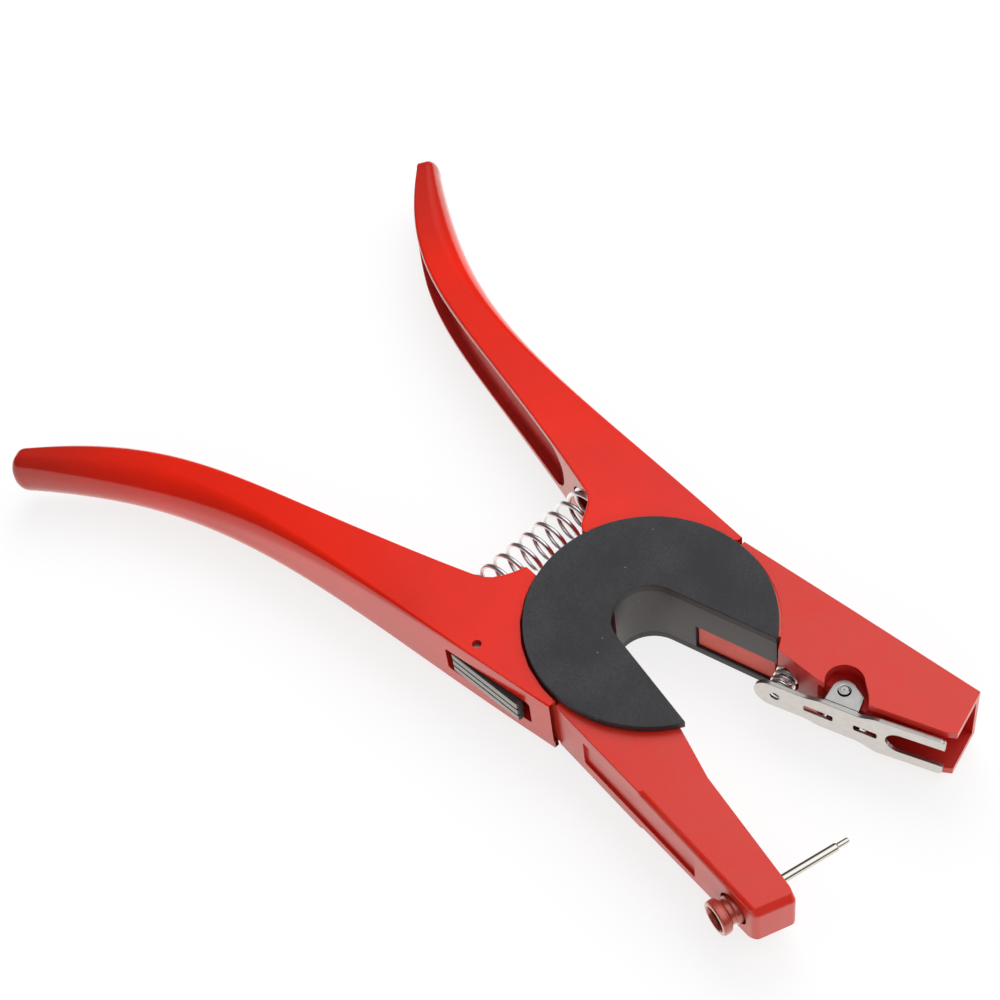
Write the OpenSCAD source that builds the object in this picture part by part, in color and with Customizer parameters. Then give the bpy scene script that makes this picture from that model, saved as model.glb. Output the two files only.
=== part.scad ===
// Ear tag pliers: two cast levers that cross in a half lap under a black C-shaped head.
// Frame: X along the tool towards the jaws, Y across, Z through the thickness.
// The origin lies on the pivot axis, on the back face of the rear plate.

/* [Head] */
// Outside diameter of the black head plates
disc_d = 68; // [62:0.5:74]
// Distance from the pivot axis forward to the centre of the head plates
disc_x = 22; // [20:0.5:24]
// Thickness over both head plates
head_t = 24; // [22:0.5:28]
// Thickness of each head plate
plate_t = 2.2; // [1.6:0.1:3]
// Thickness of the levers beside the head
lever_t = 20.4; // [19:0.2:23]
// Gap between the rim of a plate and the shoulder cast round it
rim_gap = 0.8; // [0.4:0.1:1.5]
// Gap between a handle's end and the jaw next to it
stop_gap = 1.6; // [0.8:0.1:3]
// Half width of the tool across the head
head_half_w = 36.3; // [35.6:0.1:40]
// Running gap between a moving lever and a plate
run_gap = 0.4; // [0.2:0.05:0.6]

/* [Throat] */
// Radius of the throat's round end
throat_r = 10.4; // [8:0.1:11]
// Angle of each throat wall to the tool axis
throat_angle = 13; // [8:0.5:16]
// Thickness of the throat liner
liner_t = 2.2; // [1.6:0.1:2.4]
// How far the red lever stands back in the liner's window
window_back = 0.8; // [0.4:0.1:1.4]
// Start of the liner's window, forward of the head's centre
window_x = 5; // [4:0.5:14]

/* [Handles] */
// Distance from the pivot axis back to the handle tips
handle_reach = 158.8; // [140:0.2:170]
// Distance from the tool axis to the upper handle's tip, at the inner edge
tip_spread = 79.8; // [70:0.2:86]
// How much nearer the tool axis the lower handle's tip lies
lower_tip_in = 3.2; // [0:0.2:5]
// Half width of the tool across the roots of the handles
handle_half_w = 37.2; // [36:0.1:40]
// Width of a handle at its tip
tip_w = 7.4; // [6:0.1:11]
// Thickness of a handle at its tip
tip_t = 16; // [13:0.2:20]
// Rake of a handle's inner edge near the head
inner_rake = 18; // [12:0.5:20]
// Rake of a handle's inner edge at the tip
tip_rake = 48.5; // [40:0.5:52]
// Rake of a handle's outer edge near the head
outer_rake = 6; // [4:0.2:10]
// Height of the channel in each handle's inner face
channel_h = 8.4; // [5:0.2:9]
// Depth of the channel in each handle's inner face
channel_depth = 5.4; // [2:0.2:6]

/* [Pivot] */
// Diameter of the pivot pin
pivot_d = 9; // [7:0.5:9.5]
// Wall of the bush on the pivot pin
bush_wall = 1.5; // [1:0.1:1.8]
// Radial clearance of a turning pin
turn_fit = 0.05; // [0.02:0.01:0.09]
// Radial clearance of a fixed pin or screw
seat_fit = 0.02; // [0.01:0.01:0.04]
// Thickness of the lap washer
lap_washer_t = 0.6; // [0.4:0.1:1]
// Thickness of the cap washer and of the retaining ring
ring_t = 0.9; // [0.6:0.1:1]

/* [Return spring] */
// Outside diameter of the return spring
spring_d = 12.8; // [10:0.2:13]
// Wire of the return spring
spring_wire = 1.4; // [1:0.1:1.8]
// Curls of the return spring
spring_curls = 11; // [8:1:13]
// Distance from the pivot axis back to the return spring
spring_x = 23.6; // [23:0.1:26]
// Half the gap between the handles at the return spring
spring_half_gap = 20.6; // [19:0.1:23]
// Depth of the spring's pocket in each handle
spring_pocket = 4; // [2:0.5:6]

/* [Clip jaw] */
// Distance from the pivot axis to the jaw tips
jaw_reach = 102; // [96:0.5:112]
// Thickness of the clip jaw at its tip
clip_jaw_tip_t = 19.4; // [17:0.2:20]
// Half width over the jaws at their tips
jaw_half_w = 40.8; // [40:0.2:46]
// Wall of the clip jaw's channel
channel_wall = 2.4; // [1.8:0.1:2.6]
// Sheet of the tag clip
clip_t = 1.2; // [0.8:0.1:1.6]
// Width of the tag clip's fork
fork_w = 15; // [13:0.5:17]
// Width of the slot in the fork
fork_slot = 7.6; // [5:0.2:9]
// Width of the tag clip's tail
tail_w = 10; // [7:0.5:11]
// Width over the tag clip's ears
ears_w = 11.6; // [10.5:0.1:12]
// Rise of the tag clip from its tail to its ears
clip_rake = 17; // [15:0.5:18]
// Rise of the tag clip's fork
fork_rake = 20.5; // [19:0.5:22]
// Diameter of the clip's hinge pin
clip_pin_d = 3.4; // [2.8:0.1:3.6]
// Outside diameter of the clip spring
clip_spring_d = 7; // [5.5:0.1:7.5]
// Wire of the clip spring
clip_spring_wire = 0.9; // [0.6:0.1:1.1]

/* [Pin jaw] */
// Thickness of the pin jaw at its tip
pin_jaw_tip_t = 15; // [13:0.5:17]
// Half width over the pin jaw at its tip
pin_jaw_half_w = 44.3; // [42:0.1:47]
// Distance from the tool axis to the pin jaw's inner face, at the applicator pin
pin_foot = 31.1; // [30:0.1:33]
// Distance from the pivot axis to the foot of the applicator pin
pin_x = 93.8; // [88:0.2:95]
// Lean of the applicator pin to the tool axis
pin_lean = 76.5; // [72:0.5:80]
// Diameter of the applicator pin
pin_d = 2.4; // [2:0.1:3]
// Length of the applicator pin outside the jaw, up to its nose
pin_out = 18.4; // [14:0.2:19]
// Diameter of the applicator pin's nose
nose_d = 1.4; // [1:0.1:1.8]
// Length of the applicator pin's nose
nose_l = 3.4; // [2:0.2:5]
// Width across the corners of the pin screw
screw_corner_d = 11; // [9:0.2:12]
// Diameter of the pin screw's neck
screw_neck_d = 6.4; // [5.6:0.2:7]
// Height of the pin screw's head
screw_head_t = 4; // [3:0.2:6]
// Length of the pin screw's neck outside the jaw
screw_neck_out = 1.4; // [1.2:0.1:4]

/* [Lock] */
// Length of the lock rocker
lock_l = 25.2; // [22:0.2:27]
// Height of the lock rocker
lock_h = 8.2; // [6:0.2:9]
// Thickness of the lock rocker
lock_t = 2.4; // [1.8:0.1:2.6]
// Gap round the lock rocker's eye, and over and under the rocker in its slot
lock_gap = 0.9; // [0.6:0.1:1.2]
// Diameter of the lock's cross pin
lock_pin_d = 2; // [1.6:0.1:2.4]

/* [Hidden] */
$fn = 64;
far = 400;
red = "#d8281f";
black = "#38383b";
bright = "#c9ccd0";
steel = "#8f9398";
mid_z = head_t / 2;
disc_r = disc_d / 2;
shoulder_r = disc_r + rim_gap;
// Levels of the half lap, from the back
rear_lap_top = mid_z - lap_washer_t / 2;
front_lap_bottom = mid_z + lap_washer_t / 2;
front_plate_z = head_t - plate_t;
pin_lever_bottom = plate_t + run_gap;
pin_lever_top = front_plate_z - run_gap;
// The laps stand back from the rim of the plates, and the pin lever from the throat's edge
lap_back = 0.6;
limb_back = 1.2;
lap_r = disc_r - lap_back;
hub_r = disc_x - throat_r - liner_t - run_gap;
handle_end_x = disc_x - stop_gap / 2;
jaw_start_x = disc_x + stop_gap / 2;
throat_steps = 44;
// The liner stops short of the pin lever's neck, at this angle round the throat
liner_end_angle = 200;
neck_angle = -75;
mouth_angle = throat_angle + asin((throat_r + limb_back) / disc_r);

// Points of a handle's outline, on the upper side
tip_outer_rake = 34.4;
tip_turn = 60.5;
// Pull of each edge's ends on its curve, as shares of the handle's length
inner_pull = [0.583, 0.39];
outer_pull = [0.654, 0.497];
horn_half_gap = 9.6;
horn_w = 3;
handle_l = handle_reach - spring_x;
inner_root = [-spring_x, spring_half_gap];
outer_root = [handle_end_x, handle_half_w];
horn_tip = [disc_x - shoulder_r - horn_w, horn_half_gap];
tip_round = 0.7 * tip_w;
horn_edge = [inner_root, inner_root + [4.4, -1.6], horn_tip + [-1.4, 4.2], horn_tip];
// Share of the inner edge that the channel runs along
channel_from = 0.1;
channel_to = 0.71;
// Shares of a handle's length: its plain root, and where its edges begin to round
root_to = 0.06;
edge_from = 0.04;
grip_from = 0.15;
edge_round = 0.4;
// Rounding of a grip at its tip: of the outer side across and through, and of the inner edges
outer_round = 0.57;
outer_drop = 0.96;
inner_round = 0.2;
spring_fit = 0.4;
spring_end_gap = 0.3;
spring_y = spring_half_gap + spring_pocket;

// Pivot stack
pivot_head_d = pivot_d + 5;
pivot_head_t = 2.5;
bush_d = pivot_d + 2 * bush_wall;
cap_d = bush_d + 3;
cap_z = pin_lever_top - 2 * ring_t - 0.8;
ring_groove = 0.7;
pivot_top = pin_lever_top - 0.1;

// Plate fastenings, round the head's centre
screw_ring_r = 25;
screw_angles = [60, 140, 215, 255];
screw_d = 3.2;
screw_l = 8.6;
screw_csk = 1.6;
screw_sink = 0.2;
peg_ring_r = 26.5;
peg_angles = [52, 80];
peg_d = 4.8;
peg_l = 8;

// Hinge of the tag clip, and its own frame along the plate
clip_ahead = 16;
clip_pin_x = disc_x + disc_r + clip_ahead;
clip_pin_y = 20;
clip_drop = 5.9;
tail_l = 23;
bend_s = 10;
fork_l = 19.4;
ear_from = -3.8;
ear_to = 5.9;
ear_r = 3.4;
ear_relief_r = 5.2;
ear_clear_r = 6.3;
clip_boss_r = 4;
clip_boss_half = ears_w / 2 - clip_t - 0.3;
clip_pin_l = ears_w + 1;
clip_spring_s = -16.6;
clip_spring_l = 13.4;
clip_edge_y = 15.9;
clip_tip_y = 26.6;
clip_edge_back = 5.4;
clip_peak_ahead = 8.6;
clip_peak_y = clip_pin_y - 1.4;
clip_tip_back = 3;
clip_channel_back = 5.5;
clip_boss_to = [8, 7.6];
clip_boss_front = 0.8;
clip_channel_x = clip_pin_x - clip_channel_back;
fork_slot_s = 7.7;
fork_corner = 1.5;
tail_corner = 1.6;
tail_hole_s = -17;
tail_hole_d = 2.4;
clip_slot_w = 2.2;
tail_slot = [-8.8, -0.6];
neck_slot = [5.1, 11.6];
neck_l = 2;

// Pin jaw, in steps along its inner face from the applicator pin
jaw_face_ahead = 8;
jaw_face_back = 29.7;
pin_tip_back = 3.4;
pin_tip_ahead = 0.9;
pin_tip_w = 11;
pin_root_in = 0.6;
// Applicator pin: distances are measured from the jaw's inner face, outwards
jaw_at_pin = 12.8;
pin_shank_d = pin_d + 0.8;
pin_shank_out = 0.2;
pin_head_d = 5.4;
pin_head_t = 1.6;
pin_head_in = 4.8;
screw_socket_d = 5.6;
screw_clear_d = 9.4;
screw_clear_depth = 2.6;
label_from = 10;
label_to = 54;
label_depth = 0.8;
label_h = 10;

// Lock rocker: its own frame runs along the handle's outer edge
lock_back = 24.2;
lock_x = disc_x - lock_back;
lock_pivot_s = -5.8;
lock_pivot_in = 3.8;
lock_rest = 4.5;
lock_proud = 0.5;
lock_end_gap = 2.3;
lock_slot_depth = 3.6;
lock_eye_r = 2.5;
lock_rib = 0.5;
lock_ribs = 3;
lock_spring_s = 0.6;
lock_spring_d = 3.6;
lock_spring_wire = 0.6;
lock_spring_in = 8;
lock_pin_sink = 1.6;

function dir(a) = [cos(a), sin(a)];
function back_dir(a) = [-cos(a), sin(a)];
function bez(p, t) =
  pow(1 - t, 3) * p[0] + 3 * t * pow(1 - t, 2) * p[1] + 3 * t * t * (1 - t) * p[2] + pow(t, 3) * p[3];
function bez_slope(p, t) =
  pow(1 - t, 2) * (p[1] - p[0]) + 2 * t * (1 - t) * (p[2] - p[1]) + t * t * (p[3] - p[2]);
function bez_side(p, t) = let (d = bez_slope(p, t)) [d[1], -d[0]] / norm(d);
// Edges of a handle on the upper side, with the lower handle's own spread where lower is 1
function inner_tip(lower) = [-handle_reach, tip_spread - lower * lower_tip_in];
function outer_tip(lower) = inner_tip(lower) + tip_w * dir(tip_turn);
function inner_edge(lower) = [
  inner_root,
  inner_root + inner_pull[0] * handle_l * back_dir(inner_rake),
  inner_tip(lower) - inner_pull[1] * handle_l * back_dir(tip_rake),
  inner_tip(lower)
];
function outer_edge(lower) = [
  outer_root,
  outer_root + outer_pull[0] * handle_l * back_dir(outer_rake),
  outer_tip(lower) - outer_pull[1] * handle_l * back_dir(tip_outer_rake),
  outer_tip(lower)
];

// Shared outlines

module throat_2d(grow) {
  r = throat_r + grow;
  from = 90 + throat_angle;
  step = (180 - 2 * throat_angle) / throat_steps;
  translate([disc_x, 0]) polygon(concat(
    [r * dir(from) + far * dir(throat_angle)],
    [for (i = [0:throat_steps]) r * dir(from + i * step)],
    [r * dir(-from) + far * dir(-throat_angle)]
  ));
}

module plate_2d() {
  difference() {
    translate([disc_x, 0]) circle(r = disc_r);
    throat_2d(0);
  }
}

// Root of a handle, on the upper side: it reaches back a little way along both edges
module handle_root_2d(lower) {
  polygon(concat(
    [for (i = [0:4]) bez(outer_edge(lower), root_to * i / 4)],
    [for (i = [4:-1:0]) bez(inner_edge(lower), root_to * i / 4)],
    [for (i = [1:6]) bez(horn_edge, i / 6)],
    [[disc_x - lap_r + 6, horn_half_gap], [handle_end_x, lap_r / 2]]
  ));
}

module channel_2d(lower) {
  steps = [for (i = [0:12]) channel_from + (channel_to - channel_from) * i / 12];
  edge = inner_edge(lower);
  polygon(concat(
    [for (t = steps) bez(edge, t) - 2 * bez_side(edge, t)],
    [for (i = [12:-1:0]) bez(edge, steps[i]) + channel_depth * bez_side(edge, steps[i])]
  ));
}

// Side view of a jaw, which tapers from the head to its tip
module jaw_slab(root_half, tip_half, inset = 0) {
  half = [[0, root_half], [disc_x + disc_r, root_half], [jaw_reach + 4, tip_half]];
  translate([0, 0, mid_z]) rotate([90, 0, 0]) linear_extrude(height = far, center = true)
    polygon(concat(
      [for (p = half) [p[0], p[1] - inset]],
      [for (i = [2:-1:0]) [half[i][0], inset - half[i][1]]]
    ));
}

module layer(from_z, to_z) {
  translate([0, 0, from_z]) linear_extrude(height = to_z - from_z) children();
}

// Grip of a handle: rounded sections set along its two edges, and a blunt end
function grip_ease(t) = let (u = min(1, max(0, (t - edge_from) / (1 - edge_from - grip_from)))) u * u * (3 - 2 * u);
function corner(at, a, b, from, n) =
  [for (k = [0:n]) at + [a * cos(from + 90 * k / n), b * sin(from + 90 * k / n)]];
function grip_section(w, half, k) =
  let (a = edge_round + k * (outer_round * w - edge_round),
       b = edge_round + k * (outer_drop * half - edge_round),
       c = edge_round + k * (inner_round * w - edge_round))
  concat(
    corner([w - a, half - b], a, b, 0, 5),
    corner([c, half - c], c, c, 90, 3),
    corner([c, c - half], c, c, 180, 3),
    corner([w - a, b - half], a, b, 270, 5)
  );
function grip_half(t) = let (u = max(0, (t - grip_from) / (1 - grip_from)))
  lever_t / 2 - 0.04 + u * (tip_t - lever_t) / 2;
function grip_ring(lower, t, shrink, push) =
  let (i = bez(inner_edge(lower), t), o = bez(outer_edge(lower), t), w = norm(o - i), e = (o - i) / w,
       from = i + push * back_dir((tip_rake + tip_outer_rake) / 2))
  [for (p = grip_section(w, grip_half(t), grip_ease(t)))
    let (s = w / 2 + (p[0] - w / 2) * shrink, at = from + e * min(w - 0.04, max(0.04, s)))
    [at[0], at[1], mid_z + p[1] * shrink]];

module grip(lower) {
  n = len(grip_section(1, 1, 0));
  stations = [for (i = [0:22]) grip_ring(lower, 0.02 + 0.98 * i / 22, 1, 0)];
  tip = [for (a = [25, 45, 62, 76]) grip_ring(lower, 1, pow(cos(a), 0.6), tip_round * sin(a))];
  rings = concat(stations, tip);
  last = len(rings) - 1;
  walls = [
    for (i = [0:last - 1]) for (k = [0:n - 1])
      let (a = n * i + k, b = n * i + (k + 1) % n)
      each [[a, b + n, a + n], [a, b, b + n]]
  ];
  ends = [[for (k = [n - 1:-1:0]) k], [for (k = [0:n - 1]) n * last + k]];
  polyhedron(points = [for (ring = rings) each ring], faces = concat(walls, ends));
}

// Handle outside the head's shoulder, with its channel and spring pocket, on the upper side
module handle_solid(lower) {
  difference() {
    union() {
      layer(mid_z - lever_t / 2, mid_z + lever_t / 2) difference() {
        handle_root_2d(lower);
        translate([disc_x, 0]) circle(r = shoulder_r);
      }
      grip(lower);
    }
    layer(mid_z - channel_h / 2, mid_z + channel_h / 2) channel_2d(lower);
    spring_pocket_cut();
  }
}

module spring_pocket_cut() {
  translate([-spring_x, horn_half_gap, mid_z]) rotate([-90, 0, 0])
    cylinder(d = spring_d + 2 * spring_fit, h = spring_y - horn_half_gap);
}

module handle_lap_2d(lower) {
  intersection() {
    handle_root_2d(lower);
    translate([disc_x, 0]) circle(r = shoulder_r + 2);
  }
}

// Clip lever: lower handle, rear half of the lap and clip jaw

module clip_jaw_2d() {
  difference() {
    polygon([
      [jaw_start_x, head_half_w],
      [jaw_reach - clip_tip_back, jaw_half_w],
      [jaw_reach, clip_tip_y],
      [clip_pin_x + clip_peak_ahead, clip_peak_y],
      [clip_pin_x - clip_edge_back, clip_edge_y],
      [disc_x + disc_r * cos(mouth_angle), clip_edge_y],
      [jaw_start_x, throat_r]
    ]);
    throat_2d(liner_t + seat_fit);
  }
}

module clip_lap_2d() {
  difference() {
    translate([disc_x, 0]) circle(r = lap_r);
    throat_2d(liner_t + seat_fit);
    translate([handle_end_x, -far]) square(far);
  }
}

module clip_channel() {
  difference() {
    intersection() {
      jaw_slab(lever_t / 2, clip_jaw_tip_t / 2, channel_wall);
      layer(0, head_t) polygon([
        [clip_channel_x, 0],
        [jaw_reach + 4, 0],
        [jaw_reach + 4, jaw_half_w - channel_wall],
        [clip_channel_x, head_half_w]
      ]);
    }
    clip_boss();
  }
}

// Round opening over each ear, flared towards the fork
module ear_opening_2d(r) {
  translate([clip_pin_x, clip_pin_y]) {
    circle(r = r);
    polygon([[0, -6], [9.2, -6], [9.2, -1.6], [7, 1.1], [3.5, 3.8], [0, 2]]);
  }
}

// Block behind the hinge, with a nose between the ears and a pocket for each ear
module clip_boss() {
  layer(mid_z - clip_boss_half, mid_z + clip_boss_half)
    translate([clip_pin_x, clip_pin_y]) circle(r = clip_boss_r);
  difference() {
    layer(0, head_t)
      translate([clip_pin_x - clip_boss_to[0], clip_pin_y - clip_boss_front])
        square([clip_boss_to[0] + clip_boss_to[1], far]);
    layer(mid_z + clip_boss_half, head_t + 1) ear_opening_2d(ear_clear_r);
    layer(-1, mid_z - clip_boss_half) ear_opening_2d(ear_clear_r);
  }
}

module ear_relief() {
  difference() {
    layer(-1, head_t + 1) ear_opening_2d(ear_relief_r);
    clip_boss();
  }
}

// The window's tongue of red casting, standing back from the throat's wall
module window_tongue() {
  layer(plate_t + 2 * run_gap, mid_z - run_gap) intersection() {
    translate([disc_x, 0]) circle(r = lap_r);
    translate([disc_x + window_x + run_gap, 0]) square(far);
    translate([disc_x, 0]) rotate(throat_angle) translate([0, throat_r + window_back]) square([far, liner_t]);
  }
}

module lock_frame() {
  edge = bez(outer_edge(1), (handle_end_x - lock_x) / (3 * outer_pull[0] * handle_l));
  translate([edge[0], -edge[1], mid_z]) rotate([0, 0, outer_rake]) children();
}

module lock_cuts() {
  lock_frame() {
    translate([-lock_l / 2 - lock_end_gap, -2, -lock_h / 2 - lock_gap / 2])
      cube([lock_l + 2 * lock_end_gap, lock_slot_depth + 2, lock_h + lock_gap]);
    translate([lock_pivot_s, lock_pivot_in, -lock_h / 2 - lock_gap / 2]) {
      cylinder(r = lock_eye_r + lock_gap, h = lock_h + lock_gap);
      translate([-lock_eye_r - lock_gap, -lock_pivot_in, 0])
        cube([2 * (lock_eye_r + lock_gap), lock_pivot_in, lock_h + lock_gap]);
    }
    translate([lock_pivot_s, lock_pivot_in, -head_t])
      cylinder(d = lock_pin_d + 2 * seat_fit, h = 2 * head_t);
    translate([lock_spring_s, 0, 0]) rotate([-90, 0, 0])
      cylinder(d = lock_spring_d + 2 * spring_end_gap, h = lock_spring_in);
  }
}

module clip_frame() {
  translate([clip_pin_x, clip_pin_y, mid_z]) rotate([0, 0, clip_rake]) children();
}

module clip_spring_cut() {
  clip_frame() translate([clip_spring_s, -clip_drop, 0]) rotate([-90, 0, 0])
    cylinder(d = clip_spring_d + 1.2, h = clip_spring_l + clip_t);
}

module screw_holes() {
  for (a = screw_angles)
    translate([disc_x, 0, 0] + screw_ring_r * [cos(a), sin(a), 0])
      cylinder(d = screw_d + 2 * seat_fit, h = screw_l + screw_sink + 0.5);
}

module clip_lever() {
  color(red) difference() {
    union() {
      mirror([0, 1, 0]) handle_solid(1);
      layer(plate_t, rear_lap_top) {
        clip_lap_2d();
        mirror([0, 1, 0]) handle_lap_2d(1);
      }
      intersection() {
        jaw_slab(lever_t / 2, clip_jaw_tip_t / 2);
        layer(0, head_t) difference() {
          clip_jaw_2d();
          translate([disc_x, 0]) circle(r = shoulder_r);
        }
      }
      layer(plate_t, front_plate_z) intersection() {
        clip_jaw_2d();
        translate([disc_x, 0]) circle(r = shoulder_r + 2);
      }
      window_tongue();
    }
    clip_channel();
    ear_relief();
    clip_spring_cut();
    lock_cuts();
    screw_holes();
    translate([clip_pin_x, clip_pin_y, 0]) cylinder(d = clip_pin_d + 2 * seat_fit, h = head_t);
    cylinder(d = pivot_d + 2 * seat_fit, h = head_t);
    translate([0, 0, plate_t - 1]) cylinder(d = pivot_head_d + 4 * seat_fit, h = pivot_head_t + 1.1);
    for (a = peg_angles)
      translate([disc_x, 0, front_plate_z - peg_l - 0.4] + peg_ring_r * [cos(a), sin(a), 0])
        cylinder(d = peg_d + 2 * seat_fit, h = peg_l + 2);
  }
}

// Pin lever: upper handle, front half of the lap and pin jaw

function jaw_face(s) = [pin_x, -pin_foot] + s * dir(pin_lean - 90);

module pin_jaw_2d() {
  difference() {
    polygon([
      [jaw_start_x, pin_root_in - head_half_w],
      [jaw_reach - pin_tip_back, -pin_jaw_half_w],
      [jaw_reach + pin_tip_ahead, pin_tip_w - pin_jaw_half_w],
      jaw_face(jaw_face_ahead),
      jaw_face(-jaw_face_back),
      [disc_x + disc_r * cos(mouth_angle), -disc_r * sin(mouth_angle)],
      [jaw_start_x, -throat_r]
    ]);
    throat_2d(limb_back);
  }
}

module pin_lap_2d() {
  wall_start = [disc_x, 0] + throat_r * dir(-90 - throat_angle);
  difference() {
    translate([disc_x, 0]) circle(r = lap_r);
    throat_2d(limb_back);
    difference() {
      throat_2d(liner_t + run_gap);
      translate([0, -far - hub_r / 2]) square(far);
    }
    translate([handle_end_x, 0]) square(far);
    difference() {
      polygon([hub_r * dir(neck_angle), wall_start, [disc_x, 0], [hub_r, 0]]);
      circle(r = hub_r);
    }
  }
}

module pin_frame() {
  translate([pin_x, -pin_foot, mid_z]) rotate([0, 0, pin_lean - 90]) rotate([-90, 0, 0]) children();
}

module pin_bores() {
  pin_frame() {
    translate([0, 0, -pin_head_in - 1]) cylinder(d = pin_shank_d + 2 * seat_fit, h = pin_head_in + 4);
    translate([0, 0, -jaw_at_pin - 4])
      cylinder(d = screw_neck_d + 2 * seat_fit, h = jaw_at_pin + 4 - pin_head_in);
    translate([0, 0, -jaw_at_pin - 4]) cylinder(d = screw_clear_d, h = 4 + screw_clear_depth);
  }
}

module label_recess() {
  start = [jaw_start_x, pin_root_in - head_half_w];
  edge = [jaw_reach - pin_tip_back, -pin_jaw_half_w] - start;
  translate([start[0], start[1], mid_z]) rotate([0, 0, atan2(edge[1], edge[0])])
    translate([label_from, -2, -label_h / 2]) cube([label_to - label_from, 2 + label_depth, label_h]);
}

module pin_lever() {
  color(red) difference() {
    union() {
      handle_solid(0);
      layer(front_lap_bottom, pin_lever_top) {
        pin_lap_2d();
        handle_lap_2d(0);
      }
      intersection() {
        jaw_slab(mid_z - pin_lever_bottom, pin_jaw_tip_t / 2);
        layer(pin_lever_bottom, pin_lever_top) pin_jaw_2d();
      }
    }
    pin_bores();
    label_recess();
    cylinder(d = bush_d + 2 * seat_fit, h = head_t);
    translate([0, 0, cap_z]) cylinder(d = cap_d + 0.4, h = head_t);
  }
}

// Black head

module front_plate() {
  color(black) {
    layer(front_plate_z, head_t) plate_2d();
    for (a = peg_angles)
      translate([disc_x, 0, front_plate_z - peg_l] + peg_ring_r * [cos(a), sin(a), 0])
        cylinder(d = peg_d, h = peg_l + plate_t / 2);
  }
}

module rear_plate() {
  color(black) difference() {
    layer(0, plate_t) plate_2d();
    screw_holes();
    for (a = screw_angles)
      translate([disc_x, 0, screw_sink] + screw_ring_r * [cos(a), sin(a), 0]) {
        cylinder(d1 = screw_d + 2 * (screw_csk + seat_fit), d2 = screw_d + 2 * seat_fit, h = screw_csk);
        translate([0, 0, -1]) cylinder(d = screw_d + 2 * (screw_csk + seat_fit), h = 1);
      }
  }
}

module liner_2d() {
  intersection() {
    difference() {
      throat_2d(liner_t);
      throat_2d(0);
    }
    translate([disc_x, 0]) circle(r = disc_r);
    translate([disc_x, 0]) polygon([[0, 0], [far, 0], [far, far], [-far, far], far * dir(liner_end_angle)]);
  }
}

module throat_liner() {
  color(black) difference() {
    layer(plate_t, front_plate_z) liner_2d();
    layer(plate_t + run_gap, mid_z) translate([disc_x + window_x, throat_r / 2]) square(far);
  }
}

module plate_screws() {
  color(steel) for (a = screw_angles)
    translate([disc_x, 0, screw_sink] + screw_ring_r * [cos(a), sin(a), 0]) difference() {
      union() {
        cylinder(d1 = screw_d + 2 * screw_csk, d2 = screw_d, h = screw_csk);
        cylinder(d = screw_d, h = screw_l);
      }
      translate([0, 0, -0.1]) cylinder(d = screw_d * 0.7, h = screw_csk, $fn = 6);
    }
}

// Pivot stack

module pivot_pin() {
  color(steel) difference() {
    union() {
      translate([0, 0, plate_t + 0.05]) cylinder(d = pivot_head_d, h = pivot_head_t);
      translate([0, 0, plate_t + 0.05]) cylinder(d = pivot_d, h = pivot_top - plate_t - 0.05);
    }
    translate([0, 0, cap_z + ring_t]) difference() {
      cylinder(d = pivot_d + 1, h = ring_t);
      translate([0, 0, -1]) cylinder(d = pivot_d - 2 * ring_groove, h = ring_t + 2);
    }
  }
}

module washer(from_z, t, outer_d, bore_d) {
  translate([0, 0, from_z]) difference() {
    cylinder(d = outer_d, h = t);
    translate([0, 0, -1]) cylinder(d = bore_d, h = t + 2);
  }
}

module pivot_bush() {
  color("#b08d57") washer(front_lap_bottom, cap_z - front_lap_bottom, bush_d, pivot_d + 2 * turn_fit);
}

module lap_washer() {
  color(steel) washer(rear_lap_top, lap_washer_t, 2 * hub_r - 1, pivot_d + 2 * turn_fit);
}

module cap_washer() {
  color(steel) washer(cap_z, ring_t, cap_d, pivot_d + 2 * turn_fit);
}

module pivot_ring() {
  ring_d = pivot_d + 3.4;
  color(steel) difference() {
    washer(cap_z + ring_t, ring_t, ring_d, pivot_d - 2 * ring_groove + 2 * seat_fit);
    translate([0, -ring_d / 5, 0]) cube([ring_d, 2 * ring_d / 5, head_t]);
  }
}

// Springs: one unbroken round wire, its ends straight for one wire along the axis

function coil_path(d, wire, curls, l) =
  let (r = (d - wire) / 2, n = curls * 8)
  concat(
    [[r, 0, 0]],
    [for (i = [0:n]) [r * cos(i * 45), r * sin(i * 45), wire + (l - 2 * wire) * i / n]],
    [[r, 0, l]]
  );
function unit(v) = v / norm(v);
function along(p, i) = unit(p[min(i + 1, len(p) - 1)] - p[max(i - 1, 0)]);
function coil_ring(p, i, wire) =
  let (
    t = along(p, i),
    out = unit([p[i][0], p[i][1], 0] - ([p[i][0], p[i][1], 0] * t) * t),
    up = cross(t, out)
  )
  [for (k = [0:5]) p[i] + wire / 2 * (cos(60 * k) * out + sin(60 * k) * up)];
function coil_gap(p, wire) =
  min([for (i = [0:len(p) - 8]) for (j = [i + 7:len(p) - 1]) norm(p[i] - p[j])]) - wire;

module coil_spring(name, d, wire, curls, l) {
  path = coil_path(d, wire, curls, l);
  last = len(path) - 1;
  rings = [for (i = [0:last]) each coil_ring(path, i, wire)];
  walls = [
    for (i = [0:last - 1]) for (k = [0:5])
      let (a = 6 * i + k, b = 6 * i + (k + 1) % 6)
      each [[a, a + 6, b + 6], [a, b + 6, b]]
  ];
  ends = [for (k = [1:4]) each [[0, k, k + 1], [6 * last, 6 * last + k + 1, 6 * last + k]]];
  echo(str(name, " least gap ", coil_gap(path, wire)));
  polyhedron(points = rings, faces = concat(walls, ends));
}

module return_spring() {
  l = 2 * (spring_y - spring_end_gap);
  color(bright) translate([-spring_x, -l / 2, mid_z]) rotate([-90, 0, 0])
    coil_spring("return spring", spring_d, spring_wire, spring_curls, l);
}

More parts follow.
